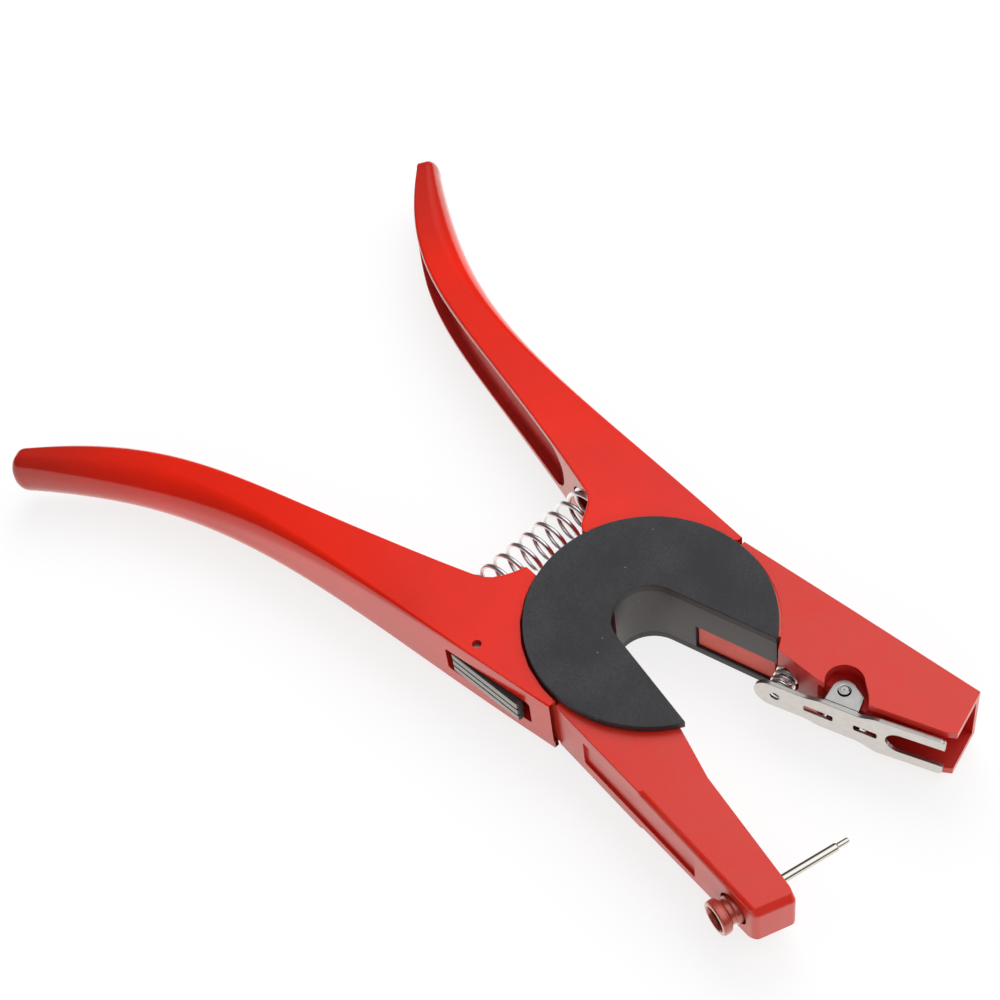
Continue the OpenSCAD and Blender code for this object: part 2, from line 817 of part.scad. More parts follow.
module clip_spring() {
  color(bright) clip_frame()
    translate([clip_spring_s, clip_t - clip_drop + spring_end_gap, 0]) rotate([-90, 0, 0])
      coil_spring("clip spring", clip_spring_d, clip_spring_wire, 5, clip_spring_l - 2 * spring_end_gap);
}

module lock_spring() {
  // At rest the rocker stands out over the spring
  from = lock_t - lock_proud - (lock_spring_s - lock_pivot_s) * sin(lock_rest) + spring_end_gap;
  color(bright) lock_frame()
    translate([lock_spring_s, from, 0]) rotate([-90, 0, 0])
      coil_spring("lock spring", lock_spring_d, lock_spring_wire, 3, lock_spring_in - from - spring_end_gap);
}

// Lock rocker and its cross pin

// The rocker rests with its forward end out of the slot
module lock_turned() {
  at = [lock_pivot_s, lock_pivot_in, 0];
  translate(at) rotate([0, 0, -lock_rest]) translate(-at) children();
}

module lock_lever() {
  groove = lock_h / (2 * lock_ribs);
  color(black) lock_frame() lock_turned() difference() {
    union() {
      translate([-lock_l / 2, -lock_proud, -lock_h / 2]) cube([lock_l, lock_t, lock_h]);
      translate([lock_pivot_s, lock_pivot_in, -lock_h / 2]) {
        cylinder(r = lock_eye_r, h = lock_h);
        translate([-lock_eye_r, -lock_pivot_in, 0]) cube([2 * lock_eye_r, lock_pivot_in, lock_h]);
      }
    }
    for (i = [1:lock_ribs - 1])
      translate([-lock_l / 2 - 1, -1 - lock_proud, -lock_h / 2 + i * lock_h / lock_ribs - groove / 4])
        cube([lock_l + 2, 1 + lock_rib, groove / 2]);
    translate([lock_pivot_s, lock_pivot_in, -lock_h])
      cylinder(d = lock_pin_d + 2 * turn_fit, h = 2 * lock_h);
  }
}

module lock_pin() {
  color(steel) lock_frame() translate([lock_pivot_s, lock_pivot_in, lock_pin_sink - lever_t / 2])
    cylinder(d = lock_pin_d, h = lever_t - 2 * lock_pin_sink);
}

// Tag clip: a sheet fork with two ears on its hinge pin

module clip_sheet(half_ws) {
  rotate([90, 0, 0]) translate([0, 0, -clip_t]) linear_extrude(height = clip_t) polygon(concat(
    half_ws,
    [for (i = [len(half_ws) - 1:-1:0]) [half_ws[i][0], -half_ws[i][1]]]
  ));
}

module ear_2d() {
  circle(r = ear_r);
  polygon([[ear_from, -clip_drop], [ear_to, -clip_drop], [ear_to - 0.4, 0.2], [ear_r - 1, ear_r - 1],
    [-ear_r, 0]]);
}

module clip_slot(from_s, to_s, w) {
  translate([from_s, -1, -w / 2]) cube([to_s - from_s, clip_t + 2, w]);
}

module tag_clip() {
  back_l = tail_l + bend_s;
  neck_half = ears_w / 2;
  color(bright) clip_frame() difference() {
    union() {
      translate([-tail_l, -clip_drop, 0]) clip_sheet([
        [0, tail_w / 2 - tail_corner],
        [tail_corner, tail_w / 2],
        [tail_l + ear_from - neck_l, tail_w / 2],
        [tail_l + ear_from, neck_half],
        [tail_l + ear_to, neck_half],
        [back_l, fork_w / 2]
      ]);
      translate([bend_s, -clip_drop, 0]) rotate([0, 0, fork_rake - clip_rake])
        clip_sheet([
          [-clip_t / 20, fork_w / 2],
          [fork_l - fork_corner, fork_w / 2],
          [fork_l, fork_w / 2 - fork_corner]
        ]);
      for (side = [-1, 1])
        translate([0, 0, side * (ears_w - clip_t) / 2]) linear_extrude(height = clip_t, center = true)
          ear_2d();
    }
    translate([0, 0, -head_t]) cylinder(d = clip_pin_d + 2 * turn_fit, h = 2 * head_t);
    translate([tail_hole_s, -clip_drop - 1, 0]) rotate([-90, 0, 0])
      cylinder(d = tail_hole_d, h = clip_t + 2);
    translate([0, -clip_drop, 0]) {
      clip_slot(tail_slot[0], tail_slot[1], clip_slot_w);
      clip_slot(neck_slot[0], neck_slot[1], clip_slot_w);
    }
    translate([bend_s, -clip_drop, 0]) rotate([0, 0, fork_rake - clip_rake]) {
      clip_slot(fork_slot_s, fork_l + 1, fork_slot);
      translate([fork_slot_s, -1, 0]) rotate([-90, 0, 0]) cylinder(d = fork_slot, h = clip_t + 2);
    }
  }
}

module clip_pin() {
  color(steel) translate([clip_pin_x, clip_pin_y, mid_z - clip_pin_l / 2])
    cylinder(d = clip_pin_d, h = clip_pin_l);
}

// Applicator pin and the screw that holds it

module applicator_pin() {
  color(bright) pin_frame() {
    translate([0, 0, -pin_head_in]) cylinder(d = pin_shank_d, h = pin_head_in + pin_shank_out);
    cylinder(d = pin_d, h = pin_out);
    translate([0, 0, -pin_head_in - pin_head_t]) cylinder(d = pin_head_d, h = pin_head_t);
    translate([0, 0, pin_out]) cylinder(d = nose_d, h = nose_l - nose_d / 2);
    translate([0, 0, pin_out + nose_l - nose_d / 2]) sphere(d = nose_d);
  }
}

module pin_screw() {
  neck_l = jaw_at_pin + screw_neck_out - pin_head_in - pin_head_t;
  color(red) pin_frame() translate([0, 0, -pin_head_in - pin_head_t]) rotate([180, 0, 0]) difference() {
    union() {
      cylinder(d = screw_neck_d, h = neck_l);
      translate([0, 0, neck_l]) cylinder(d = screw_corner_d, h = screw_head_t, $fn = 6);
    }
    translate([0, 0, neck_l - 1]) cylinder(d = screw_socket_d, h = screw_head_t + 2);
  }
}

clip_lever();
pin_lever();
front_plate();
rear_plate();
throat_liner();
plate_screws();
pivot_pin();
pivot_bush();
lap_washer();
cap_washer();
pivot_ring();
return_spring();
lock_lever();
lock_pin();
lock_spring();
tag_clip();
clip_pin();
clip_spring();
applicator_pin();
pin_screw();
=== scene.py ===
"""Ear tag pliers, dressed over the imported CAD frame.

Shapes are worked out in millimetres in the frame's own axes and go to metres when a piece is finished.
"""

import math

import bmesh
import bpy
from bpy.props import FloatProperty, FloatVectorProperty, IntProperty, PointerProperty
from mathutils import Matrix, Vector
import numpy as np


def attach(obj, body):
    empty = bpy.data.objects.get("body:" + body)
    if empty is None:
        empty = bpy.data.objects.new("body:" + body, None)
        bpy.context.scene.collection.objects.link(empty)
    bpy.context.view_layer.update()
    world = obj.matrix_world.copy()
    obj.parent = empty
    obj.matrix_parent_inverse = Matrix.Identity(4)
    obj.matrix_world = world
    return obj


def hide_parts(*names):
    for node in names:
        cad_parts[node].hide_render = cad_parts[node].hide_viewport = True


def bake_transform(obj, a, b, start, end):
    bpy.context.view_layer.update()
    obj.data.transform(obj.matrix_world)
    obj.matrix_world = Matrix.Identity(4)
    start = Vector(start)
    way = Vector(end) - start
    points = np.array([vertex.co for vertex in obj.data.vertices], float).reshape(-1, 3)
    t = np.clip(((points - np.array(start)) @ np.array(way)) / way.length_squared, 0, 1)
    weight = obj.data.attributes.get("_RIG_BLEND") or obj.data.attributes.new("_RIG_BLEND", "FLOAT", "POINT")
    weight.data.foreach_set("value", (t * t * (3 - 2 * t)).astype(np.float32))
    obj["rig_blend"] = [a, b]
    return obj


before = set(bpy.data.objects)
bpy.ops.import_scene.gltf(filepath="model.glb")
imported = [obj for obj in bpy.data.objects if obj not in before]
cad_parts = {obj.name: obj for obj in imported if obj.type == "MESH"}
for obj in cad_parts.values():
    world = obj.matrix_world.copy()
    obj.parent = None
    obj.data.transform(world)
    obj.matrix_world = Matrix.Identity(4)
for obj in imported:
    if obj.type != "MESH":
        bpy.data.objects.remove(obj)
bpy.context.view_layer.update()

bl_info = {
    "name": "Ear Tag Pliers",
    "version": (1, 0, 0),
    "blender": (4, 5, 0),
    "location": "View3D > Sidebar > Pliers",
    "description": "Builds the painted levers, moulded head, springs, tag clip and applicator pin of ear tag pliers",
    "category": "Object",
}

MM = 0.001


def in_mm(length):
    return length * 1000


def shift(x, y, z=0):
    return Matrix.Translation((x, y, z))


def turn(degrees, axis="Z"):
    return Matrix.Rotation(math.radians(degrees), 4, axis)


def heading(degrees):
    return Vector((math.cos(math.radians(degrees)), math.sin(math.radians(degrees))))


# Shared lines of the frame, in mm and degrees: the head and its throat, the shoulder round it and the levers
HEAD_X = 22.0
MID_Z = 12.0
HEAD_R = 34.0
THROAT_R, THROAT_LEAN = 10.4, 13
SHOULDER_R = 34.8
LAP_R = 34.82
LEVER_HALF = 10.2
# Both jaws are cut from this blank and thin from the head's rim over the taper's run
BLANK = (2, 22)
RIM_X, TAPER_RUN = 56, 50
PIN_JAW_X = 22
# Turns Z to Y, for round things across the tool
LIE = turn(-90, "X")
SPRING_AT = Vector((-23.6, 0, MID_Z))
SPRING_L, SPRING_HALF = 48.6, 24.6
HINGE_X, HINGE_Y = 72, 20
CLIP_FRAME = shift(HINGE_X, HINGE_Y, MID_Z) @ turn(17)
# In the clip's frame: the sheet under the hinge, the clip spring and the ears
SHEET_Y = -5.9
CLIP_SPRING_X = -16.6
EAR_Z = 5.2
PIN_FRAME = shift(93.8, -31.1, MID_Z) @ turn(-13.5) @ LIE


def linear(code):
    """An sRGB hex colour as linear red, green, blue and alpha."""
    parts = [int(code[i : i + 2], 16) / 255 for i in (1, 3, 5)]
    return [p / 12.92 if p <= 0.04045 else ((p + 0.055) / 1.055) ** 2.4 for p in parts] + [1.0]


def rgb(code):
    return linear(code)[:3]


# Meshes


def piece(name, bm, finish, body=None, nodes=(), bend=None, weighted=False, lining=None):
    """Turns a shape in mm into a finished piece that rides on a body, or bends between two."""
    bmesh.ops.scale(bm, vec=(MM, MM, MM), verts=bm.verts)
    mesh = bpy.data.meshes.new(name)
    bm.to_mesh(mesh)
    bm.free()
    mesh.polygons.foreach_set("use_smooth", [True] * len(mesh.polygons))
    mesh.set_sharp_from_angle(angle=math.radians(35))
    mesh.materials.append(bpy.data.materials[finish])
    if lining:
        mesh.materials.append(bpy.data.materials[lining])
    else:
        mesh.polygons.foreach_set("material_index", [0] * len(mesh.polygons))
    obj = bpy.data.objects.new(name, mesh)
    bpy.context.scene.collection.objects.link(obj)
    if weighted:
        even = obj.modifiers.new("even_faces", "WEIGHTED_NORMAL")
        even.keep_sharp = True
        even.weight = 100
    if bend:
        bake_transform(obj, *bend)
    else:
        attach(obj, body)
    if nodes:
        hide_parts(*nodes)
    return obj


def cad_copy(node):
    """A merged copy of a CAD node, in mm, with its flat faces whole."""
    bm = bmesh.new()
    bm.from_mesh(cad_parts[node].data)
    bmesh.ops.scale(bm, vec=(1000, 1000, 1000), verts=bm.verts)
    bmesh.ops.remove_doubles(bm, verts=bm.verts, dist=0.002)
    whole_faces(bm)
    return bm


def whole_faces(bm, angle=0.5, keep=()):
    bmesh.ops.dissolve_limit(bm, angle_limit=math.radians(angle), verts=bm.verts, edges=bm.edges, delimit=set(keep))


def bench(bm):
    """A shape as an object of its own, so that a modifier can work on it. The shape is used up."""
    mesh = bpy.data.meshes.new("bench")
    bm.to_mesh(mesh)
    bm.free()
    # Two empty slots keep the lining's index through a cut
    mesh.materials.append(None)
    mesh.materials.append(None)
    obj = bpy.data.objects.new("bench", mesh)
    bpy.context.scene.collection.objects.link(obj)
    return obj


def worked(obj, *others):
    """The shape that an object's modifiers leave. The objects are removed."""
    bm = bmesh.new()
    bm.from_object(obj, bpy.context.evaluated_depsgraph_get())
    for thing in (obj, *others):
        bpy.data.meshes.remove(thing.data)
    return bm


def cut(bm, cutter, way="DIFFERENCE", lined=False):
    """The shape less the cutter, or joined with it. Both are used up, and a lined cut's walls take the lining."""
    if lined:
        for face in cutter.faces:
            face.material_index = 1
    blank, tool = bench(bm), bench(cutter)
    step = blank.modifiers.new("cut", "BOOLEAN")
    step.operation, step.solver, step.object = way, "EXACT", tool
    return worked(blank, tool)


def soften_each(bm, segments, radius_of):
    """Rounds each edge by its own radius, which is nothing where the edge stays as it is."""
    weight = bm.edges.layers.float.get("bevel_weight_edge") or bm.edges.layers.float.new("bevel_weight_edge")
    radii = {e: radius_of(e) if len(e.link_faces) == 2 else 0 for e in bm.edges}
    most = max(radii.values())
    for e, r in radii.items():
        e[weight] = r / most
    blank = bench(bm)
    step = blank.modifiers.new("round", "BEVEL")
    step.width, step.segments, step.limit_method, step.offset_type = most, segments, "WEIGHT", "OFFSET"
    bm = worked(blank)
    bm.edges.layers.float.remove(bm.edges.layers.float["bevel_weight_edge"])
    return bm


def soften(bm, radius, segments, chosen):
    """Rounds every edge that chosen picks."""
    edges = [e for e in bm.edges if len(e.link_faces) == 2 and chosen(e)]
    return bmesh.ops.bevel(
        bm, geom=edges, offset=radius, offset_type="OFFSET", affect="EDGES",
        segments=segments, profile=0.5, material=-1, clamp_overlap=True,
    )


def sharp_edge(edge, least=45):
    return edge.calc_face_angle(0) > math.radians(least)


def upright(edge, least=4):
    return abs(edge.verts[0].co.z - edge.verts[1].co.z) > least


def inward(edge, least=1):
    return abs(edge.verts[0].co.y - edge.verts[1].co.y) > least


def slab(outline, low, high):
    """A flat shape with that outline, from one height to another."""
    bm = bmesh.new()
    face = bm.faces.new([bm.verts.new((x, y, low)) for x, y in outline])
    grown = bmesh.ops.extrude_face_region(bm, geom=[face])
    bmesh.ops.translate(
        bm, vec=(0, 0, high - low), verts=[v for v in grown["geom"] if isinstance(v, bmesh.types.BMVert)]
    )
    bmesh.ops.recalc_face_normals(bm, faces=bm.faces)
    return bm


def box(low, high):
    bm = bmesh.new()
    bmesh.ops.create_cube(bm, size=1)
    bmesh.ops.scale(bm, vec=[b - a for a, b in zip(low, high)], verts=bm.verts)
    bmesh.ops.translate(bm, vec=[(a + b) / 2 for a, b in zip(low, high)], verts=bm.verts)
    return bm


def rod(radius, low, high, segments=64, radius_high=None):
    """A round bar along Z, or a cone."""
    bm = bmesh.new()
    bmesh.ops.create_cone(
        bm, cap_ends=True, segments=segments, radius1=radius,
        radius2=radius if radius_high is None else radius_high, depth=high - low,
    )
    bmesh.ops.translate(bm, vec=(0, 0, (low + high) / 2), verts=bm.verts)
    return bm


def moved(bm, matrix):
    bmesh.ops.transform(bm, matrix=matrix, verts=bm.verts)
    return bm


def split_at(bm, x):
    """Runs a line of edges across the shape at that x."""
    geom = list(bm.verts) + list(bm.edges) + list(bm.faces)
    bmesh.ops.bisect_plane(bm, geom=geom, plane_co=(x, 0, 0), plane_no=(1, 0, 0))


def turned(profile, steps=64):
    """A lathe shape about Z, from radii and heights."""
    bm = bmesh.new()
    verts = [bm.verts.new((r, 0, z)) for r, z in profile]
    edges = [bm.edges.new(pair) for pair in zip(verts, verts[1:])]
    bmesh.ops.spin(
        bm, geom=verts + edges, cent=(0, 0, 0), axis=(0, 0, 1), angle=2 * math.pi, steps=steps, use_merge=True
    )
    bmesh.ops.remove_doubles(bm, verts=bm.verts, dist=0.001)
    bmesh.ops.recalc_face_normals(bm, faces=bm.faces)
    return bm


def coil(outside_d, wire, curls, length, around=12, steps=36):
    """A compression spring along Z: its first and last curls lie close, and its ends are cut square."""
    bm = bmesh.new()
    ring = bmesh.ops.create_circle(bm, segments=around, radius=wire / 2)["verts"]
    moved(bm, shift((outside_d - wire) / 2, 0, wire / 2) @ turn(90, "X"))
    close = 1.12 * wire
    pitch = (length - wire - 2 * close) / (curls - 2)
    geom = ring + list(bm.edges)
    for turns, rise in ((1, close), (curls - 2, pitch), (1, close)):
        geom = bmesh.ops.spin(
            bm, geom=geom, cent=(0, 0, 0), axis=(0, 0, 1), dvec=(0, 0, rise / steps),
            angle=2 * math.pi * turns, steps=steps * turns, use_merge=False,
        )["geom_last"]
    bmesh.ops.holes_fill(bm, edges=bm.edges, sides=0)
    bmesh.ops.recalc_face_normals(bm, faces=bm.faces)
    return bm


def sheet_over(rows, lined):
    """A grid laid over rows of points, closed where the points meet. The lined columns take the lining."""
    down, across = len(rows), len(rows[0])
    bm = bmesh.new()
    bmesh.ops.create_grid(bm, x_segments=across - 1, y_segments=down - 1, size=1)
    column = {v: round((v.co.x + 1) / 2 * (across - 1)) for v in bm.verts}
    for face in bm.faces:
        face.material_index = int(all(column[v] in lined for v in face.verts))
    for v in bm.verts:
        v.co = rows[round((v.co.y + 1) / 2 * (down - 1))][column[v]]
    bmesh.ops.remove_doubles(bm, verts=bm.verts, dist=0.004)
    return bm


# Handle lines


def bezier(p, t):
    return (1 - t) ** 3 * p[0] + 3 * t * (1 - t) ** 2 * p[1] + 3 * t * t * (1 - t) * p[2] + t**3 * p[3]


def back(angle):
    return Vector((-math.cos(math.radians(angle)), math.sin(math.radians(angle))))


def ease(u):
    u = min(1, max(0, u))
    return u * u * (3 - 2 * u)


INNER_ROOT, OUTER_ROOT = Vector((-23.6, 20.6)), Vector((21.2, 37.2))
UPPER_SPREAD, LOWER_SPREAD = 79.8, 76.6
GRIP_L = 135.2
TIP_X, TIP_W, TIP_HALF, TIP_LEAN = -158.8, 7.4, 8.0, 60.5
TIP_PUSH, TIP_WAY = 4.8, 41.5
UPPER_HORN = [Vector((-13.1, 9.6)), Vector((-17.6, 12.1)), INNER_ROOT + Vector((6.5, -1.0)), INNER_ROOT]
LOWER_HORN = [Vector((-15.8, 9.6)), Vector((-17.2, 13.8)), INNER_ROOT + Vector((4.4, -1.6)), INNER_ROOT]
SHOULDER_FROM, SHOULDER_SWEEP, SHOULDER_W = 163.99, 72.67, 50
# How much of the width and of the half height the outer rounding takes at the round grip
ROUND_W, ROUND_H = 0.57, 0.96
# Places on a handle's curves: the root's end, the slot and its runs, and where the grip thins and grows round
ROOT_TO = 0.05
SLOT_FROM, SLOT_TO = 0.058, 0.8
NEAR_RUN, FAR_RUN, FLOOR_RUN, FLOOR_STEP = 0.035, 0.2, 0.08, 0.12
THIN_FROM, THIN_RUN = 0.15, 0.85
ROUND_FROM, ROUND_RUN = 0.04, 0.81
# Shares of the way over a section's top, along the root and round the tip, closer in the turns
TOP_SHARES = (0.006, 0.022, 0.06, 0.15, 0.3, 0.45, 0.6, 0.75, 0.85, 0.92, 0.97, 0.99)
ROOT_SHARES = (0, 0.03, 0.08, 0.16, 0.26, 0.38, 0.5, 0.62, 0.74, 0.87)
TIP_SHARES = (0.2, 0.4, 0.58, 0.72, 0.82, 0.9, 0.95, 0.98, 0.995, 1)
# Room left beside a row's outermost columns and above the slot
SKIN, SLOT_WALL = 0.04, 0.9


def grip_edges(spread):
    """A handle's inner and outer edge on the upper side, for the spread of its tip."""
    inner_tip = Vector((TIP_X, spread))
    outer_tip = inner_tip + TIP_W * heading(TIP_LEAN)
    inner = [INNER_ROOT, INNER_ROOT + 0.583 * GRIP_L * back(18), inner_tip - 0.39 * GRIP_L * back(48.5), inner_tip]
    outer = [OUTER_ROOT, OUTER_ROOT + 0.654 * GRIP_L * back(6), outer_tip - 0.497 * GRIP_L * back(34.4), outer_tip]
    return inner, outer


# The lock's frame runs along the lower handle's outer edge, and the rocker rests turned out of its slot
LOCK_AT = bezier(grip_edges(LOWER_SPREAD)[1], 0.08821)
LOCK_FRAME = shift(LOCK_AT.x, -LOCK_AT.y, MID_Z) @ turn(6)
LOCK_HINGE = shift(-5.8, 3.8)
LOCK_SPRING = shift(0.6, 0) @ LIE
ROCKER_FRAME = LOCK_FRAME @ LOCK_HINGE @ turn(-4.5) @ LOCK_HINGE.inverted()
ROCKER_HALF, LOCK_SLOT_HALF = 4.1, 4.55


def along(points, share):
    """The point at a share of the length of a run of points."""
    lengths = [(b - a).length for a, b in zip(points, points[1:])]
    left = share * sum(lengths)
    for a, b, length in zip(points, points[1:], lengths):
        if left <= length:
            return a.lerp(b, left / length if length else 0)
        left -= length
    return points[-1]


def shoulder_line(horn_tip):
    """The handle's end against the head: the horn's flat, the shoulder and the short outer flat."""
    steps = 48
    angles = [SHOULDER_FROM - SHOULDER_SWEEP * i / steps for i in range(steps + 1)]
    return [horn_tip] + [Vector((HEAD_X, 0)) + SHOULDER_R * heading(a) for a in angles] + [OUTER_ROOT]


def grip_section(w, half, k, inner_share, slot_h, slot_depth, edge_r):
    """Upper half of a handle's section, from the outer side to the slot: a block where k is 0, a grip where it is 1."""
    a, b = edge_r + k * (ROUND_W * w - edge_r), edge_r + k * (ROUND_H * half - edge_r)
    c = edge_r + k * (inner_share * w - edge_r)
    quarter = [math.pi / 2 * i / 8 for i in range(9)]
    points = [(w, 0), (w, (half - b) / 2)]
    points += [(w - a + a * math.cos(q), half - b + b * math.sin(q)) for q in quarter]
    points += [(w - a - (w - a - c) * q, half) for q in TOP_SHARES]
    points += [(c - c * math.sin(q), half - c + c * math.cos(q)) for q in quarter[::2]]
    h = min(slot_h / 2, half - c - SLOT_WALL)
    lip, fillet = min(0.5, 0.4 * h), min(1.2, 0.6 * h)
    points += [(0, (half - c + h + lip) / 2)]
    third = [math.pi / 6 * i for i in range(4)]
    scale = min(1, slot_depth)
    points += [(scale * (lip - lip * math.cos(q)), h + lip - lip * math.sin(q)) for q in third]
    points += [
        (max(scale * lip, slot_depth - fillet + fillet * math.sin(q)), h - fillet + fillet * math.cos(q)) for q in third
    ]
    points += [(slot_depth, 0)]
    return points


def handle_rows(sizes, spread, inner_share, horn):
    """Rows of points of a handle on the upper side, from the shoulder to the tip."""
    edge_r = in_mm(sizes.edge_round)
    inner_edge, outer_edge = grip_edges(spread)
    start = shoulder_line(horn[0])
    inner_root = [bezier(horn, i / 12) for i in range(12)] + [bezier(inner_edge, ROOT_TO * i / 6) for i in range(7)]
    outer_root = [bezier(outer_edge, ROOT_TO * i / 12) for i in range(13)]
    a_end, b_end = start[0], start[-1]
    slot_h, depth = in_mm(sizes.slot_height), in_mm(sizes.slot_depth)

    def slot(t):
        near = (t - SLOT_FROM) / NEAR_RUN
        far = (SLOT_TO - t) / FAR_RUN
        if near <= 0 or far <= 0:
            return 0, 0
        grow = math.sqrt(1 - (1 - min(1, near)) ** 2) * math.sqrt(1 - (1 - min(1, far)) ** 2)
        return slot_h * grow, depth * ease((t - SLOT_FROM) / FLOOR_RUN + FLOOR_STEP) * min(1, 3 * grow)

    rows = []

    def add_row(place, w, half, k, slot_size, shrink=1.0):
        upper = grip_section(w, half, k, inner_share, *slot_size, edge_r)
        ring = upper + [(s, -z) for s, z in upper[-2:0:-1]] + [upper[0]]
        row = []
        for s, z in ring:
            s = w / 2 + (s - w / 2) * shrink
            at = place(min(w - SKIN, max(SKIN, s)) / w)
            row.append(Vector((at.x, at.y, MID_Z + z * shrink)))
        rows.append(row)

    for u in ROOT_SHARES:
        inner, outer = along(inner_root, u), along(outer_root, u)

        def place(v, u=u, inner=inner, outer=outer):
            return inner.lerp(outer, v) + (1 - u) * (along(start, v) - a_end.lerp(b_end, v))

        add_row(place, (1 - u) * SHOULDER_W + u * (outer - inner).length, LEVER_HALF, 0, (0, 0))
    ends = [SLOT_FROM + NEAR_RUN * (1 - math.cos(math.pi / 2 * i / 8)) for i in range(9)]
    ends += [SLOT_FROM - 0.0005, SLOT_TO + 0.0005]
    ends += [SLOT_TO - FAR_RUN * (1 - math.cos(math.pi / 2 * i / 8)) for i in range(9)]
    stations = sorted(set(ends + [ROOT_TO + (1 - ROOT_TO) * i / 64 for i in range(65)]))
    for t in stations:
        inner, outer = bezier(inner_edge, t), bezier(outer_edge, t)
        half = LEVER_HALF - max(0, (t - THIN_FROM) / THIN_RUN) * (LEVER_HALF - TIP_HALF)
        k = ease((t - ROUND_FROM) / ROUND_RUN)
        add_row(lambda v: inner.lerp(outer, v), (outer - inner).length, half, k, slot(t))
    # A blunt end, nearly flat
    for u in TIP_SHARES:
        push = TIP_PUSH * u * back(TIP_WAY)
        add_row(lambda v: inner.lerp(outer, v) + push, TIP_W, half, 1, (0, 0), (1 - u**3) ** (1 / 3))
    return rows


def handle(sizes, spread, inner_share, horn):
    """A handle on the upper side as a closed shape, without the spring's pocket and the lock's slot."""
    rows = handle_rows(sizes, spread, inner_share, horn)
    last = (len(rows[0]) - 1) // 2
    # The slot's middle columns take the lining, a darker red that is painted shade
    bm = sheet_over(rows, range(last - 5, last + 6))
    rim = [e for e in bm.edges if e.is_boundary]
    upper = [e for e in rim if sum(v.co.z for v in e.verts) / 2 > MID_Z + 0.1]
    lower = [e for e in rim if sum(v.co.z for v in e.verts) / 2 < MID_Z - 0.1]
    bmesh.ops.bridge_loops(bm, edges=upper + lower)
    bmesh.ops.holes_fill(bm, edges=bm.edges, sides=0)
    bmesh.ops.recalc_face_normals(bm, faces=bm.faces)
    return bm


# Jaws, head and small pieces


def on_head(radius, degrees):
    """A point of the head at a distance and an angle from its centre."""
    return HEAD_X + radius * math.cos(math.radians(degrees)), radius * math.sin(math.radians(degrees))


SCREWS = [on_head(25, a) for a in (60, 140, 215, 255)]
PEGS = [on_head(26.5, a) for a in (52, 80)]


def arc(x, y, r, start, end, steps):
    """Points round a centre, from one angle to another in degrees."""
    angles = [math.radians(start + (end - start) * i / steps) for i in range(steps + 1)]
    return [(x + r * math.cos(a), y + r * math.sin(a)) for a in angles]


def throat(low, high):
    """The mouth of the head as a solid, to cut with."""
    reach, lean = 60, math.radians(THROAT_LEAN)
    round_end = arc(HEAD_X, 0, THROAT_R, 90 + THROAT_LEAN, 270 - THROAT_LEAN, 64)
    far = (reach * math.cos(lean), reach * math.sin(lean))
    (ax, ay), (bx, by) = round_end[0], round_end[-1]
    return slab([(ax + far[0], ay + far[1])] + round_end + [(bx + far[0], by - far[1])], low, high)


def taper(bm, root_half, tip_half):
    """Thins a jaw from the head's rim to its tip."""
    split_at(bm, RIM_X)
    for v in bm.verts:
        half = root_half + max(0, v.co.x - RIM_X) / TAPER_RUN * (tip_half - root_half)
        v.co.z = MID_Z + half * (1 if v.co.z > MID_Z else -1)
    return bm


def pin_jaw(edge_r):
    """The tapered jaw that carries the applicator pin, with its bare recess and bores."""
    outline = [
        (PIN_JAW_X, -35.61), (98.6, -44.3), (102.9, -33.3), (64.92, -24.17), (50.53, -18.49), (PIN_JAW_X, -11.9),
    ]
    bm = taper(slab(outline, *BLANK), 9.4, 7.5)
    # The free end is chamfered before its corners are rounded
    soften(bm, 1.8, 1, lambda e: sharp_edge(e, 60) and not upright(e) and min(v.co.x for v in e.verts) > 97)
    soften(bm, 1.6, 5, lambda e: sharp_edge(e, 20) and upright(e, 1) and e.verts[0].co.x > 96)

    def radius(e):
        if not sharp_edge(e, 20) or upright(e):
            return 0
        return edge_r if min(v.co.y for v in e.verts) < -19 and max(v.co.x for v in e.verts) > 24 else 0

    bm = soften_each(bm, 3, radius)
    run = Vector((75.8, -8.6, 0)).normalized()
    side = shift(22.8, -35.7, MID_Z) @ Matrix.Rotation(math.atan2(run.y, run.x), 4, "Z")
    recess = box((10, -2, -5), (54, 0.8, 5))
    soften(recess, 0.6, 3, inward)
    bm = cut(bm, moved(recess, side))
    # Bores for the screw's flange, the screw's barrel and the pin's shank; their lined walls take a darker red, painted
    # shade
    for r, low, high in ((4.7, -19, -10.2), (3.22, -12, -4.8), (1.62, -6, 4)):
        bm = cut(bm, moved(rod(r, low, high, 48), PIN_FRAME), lined=True)
    return bm


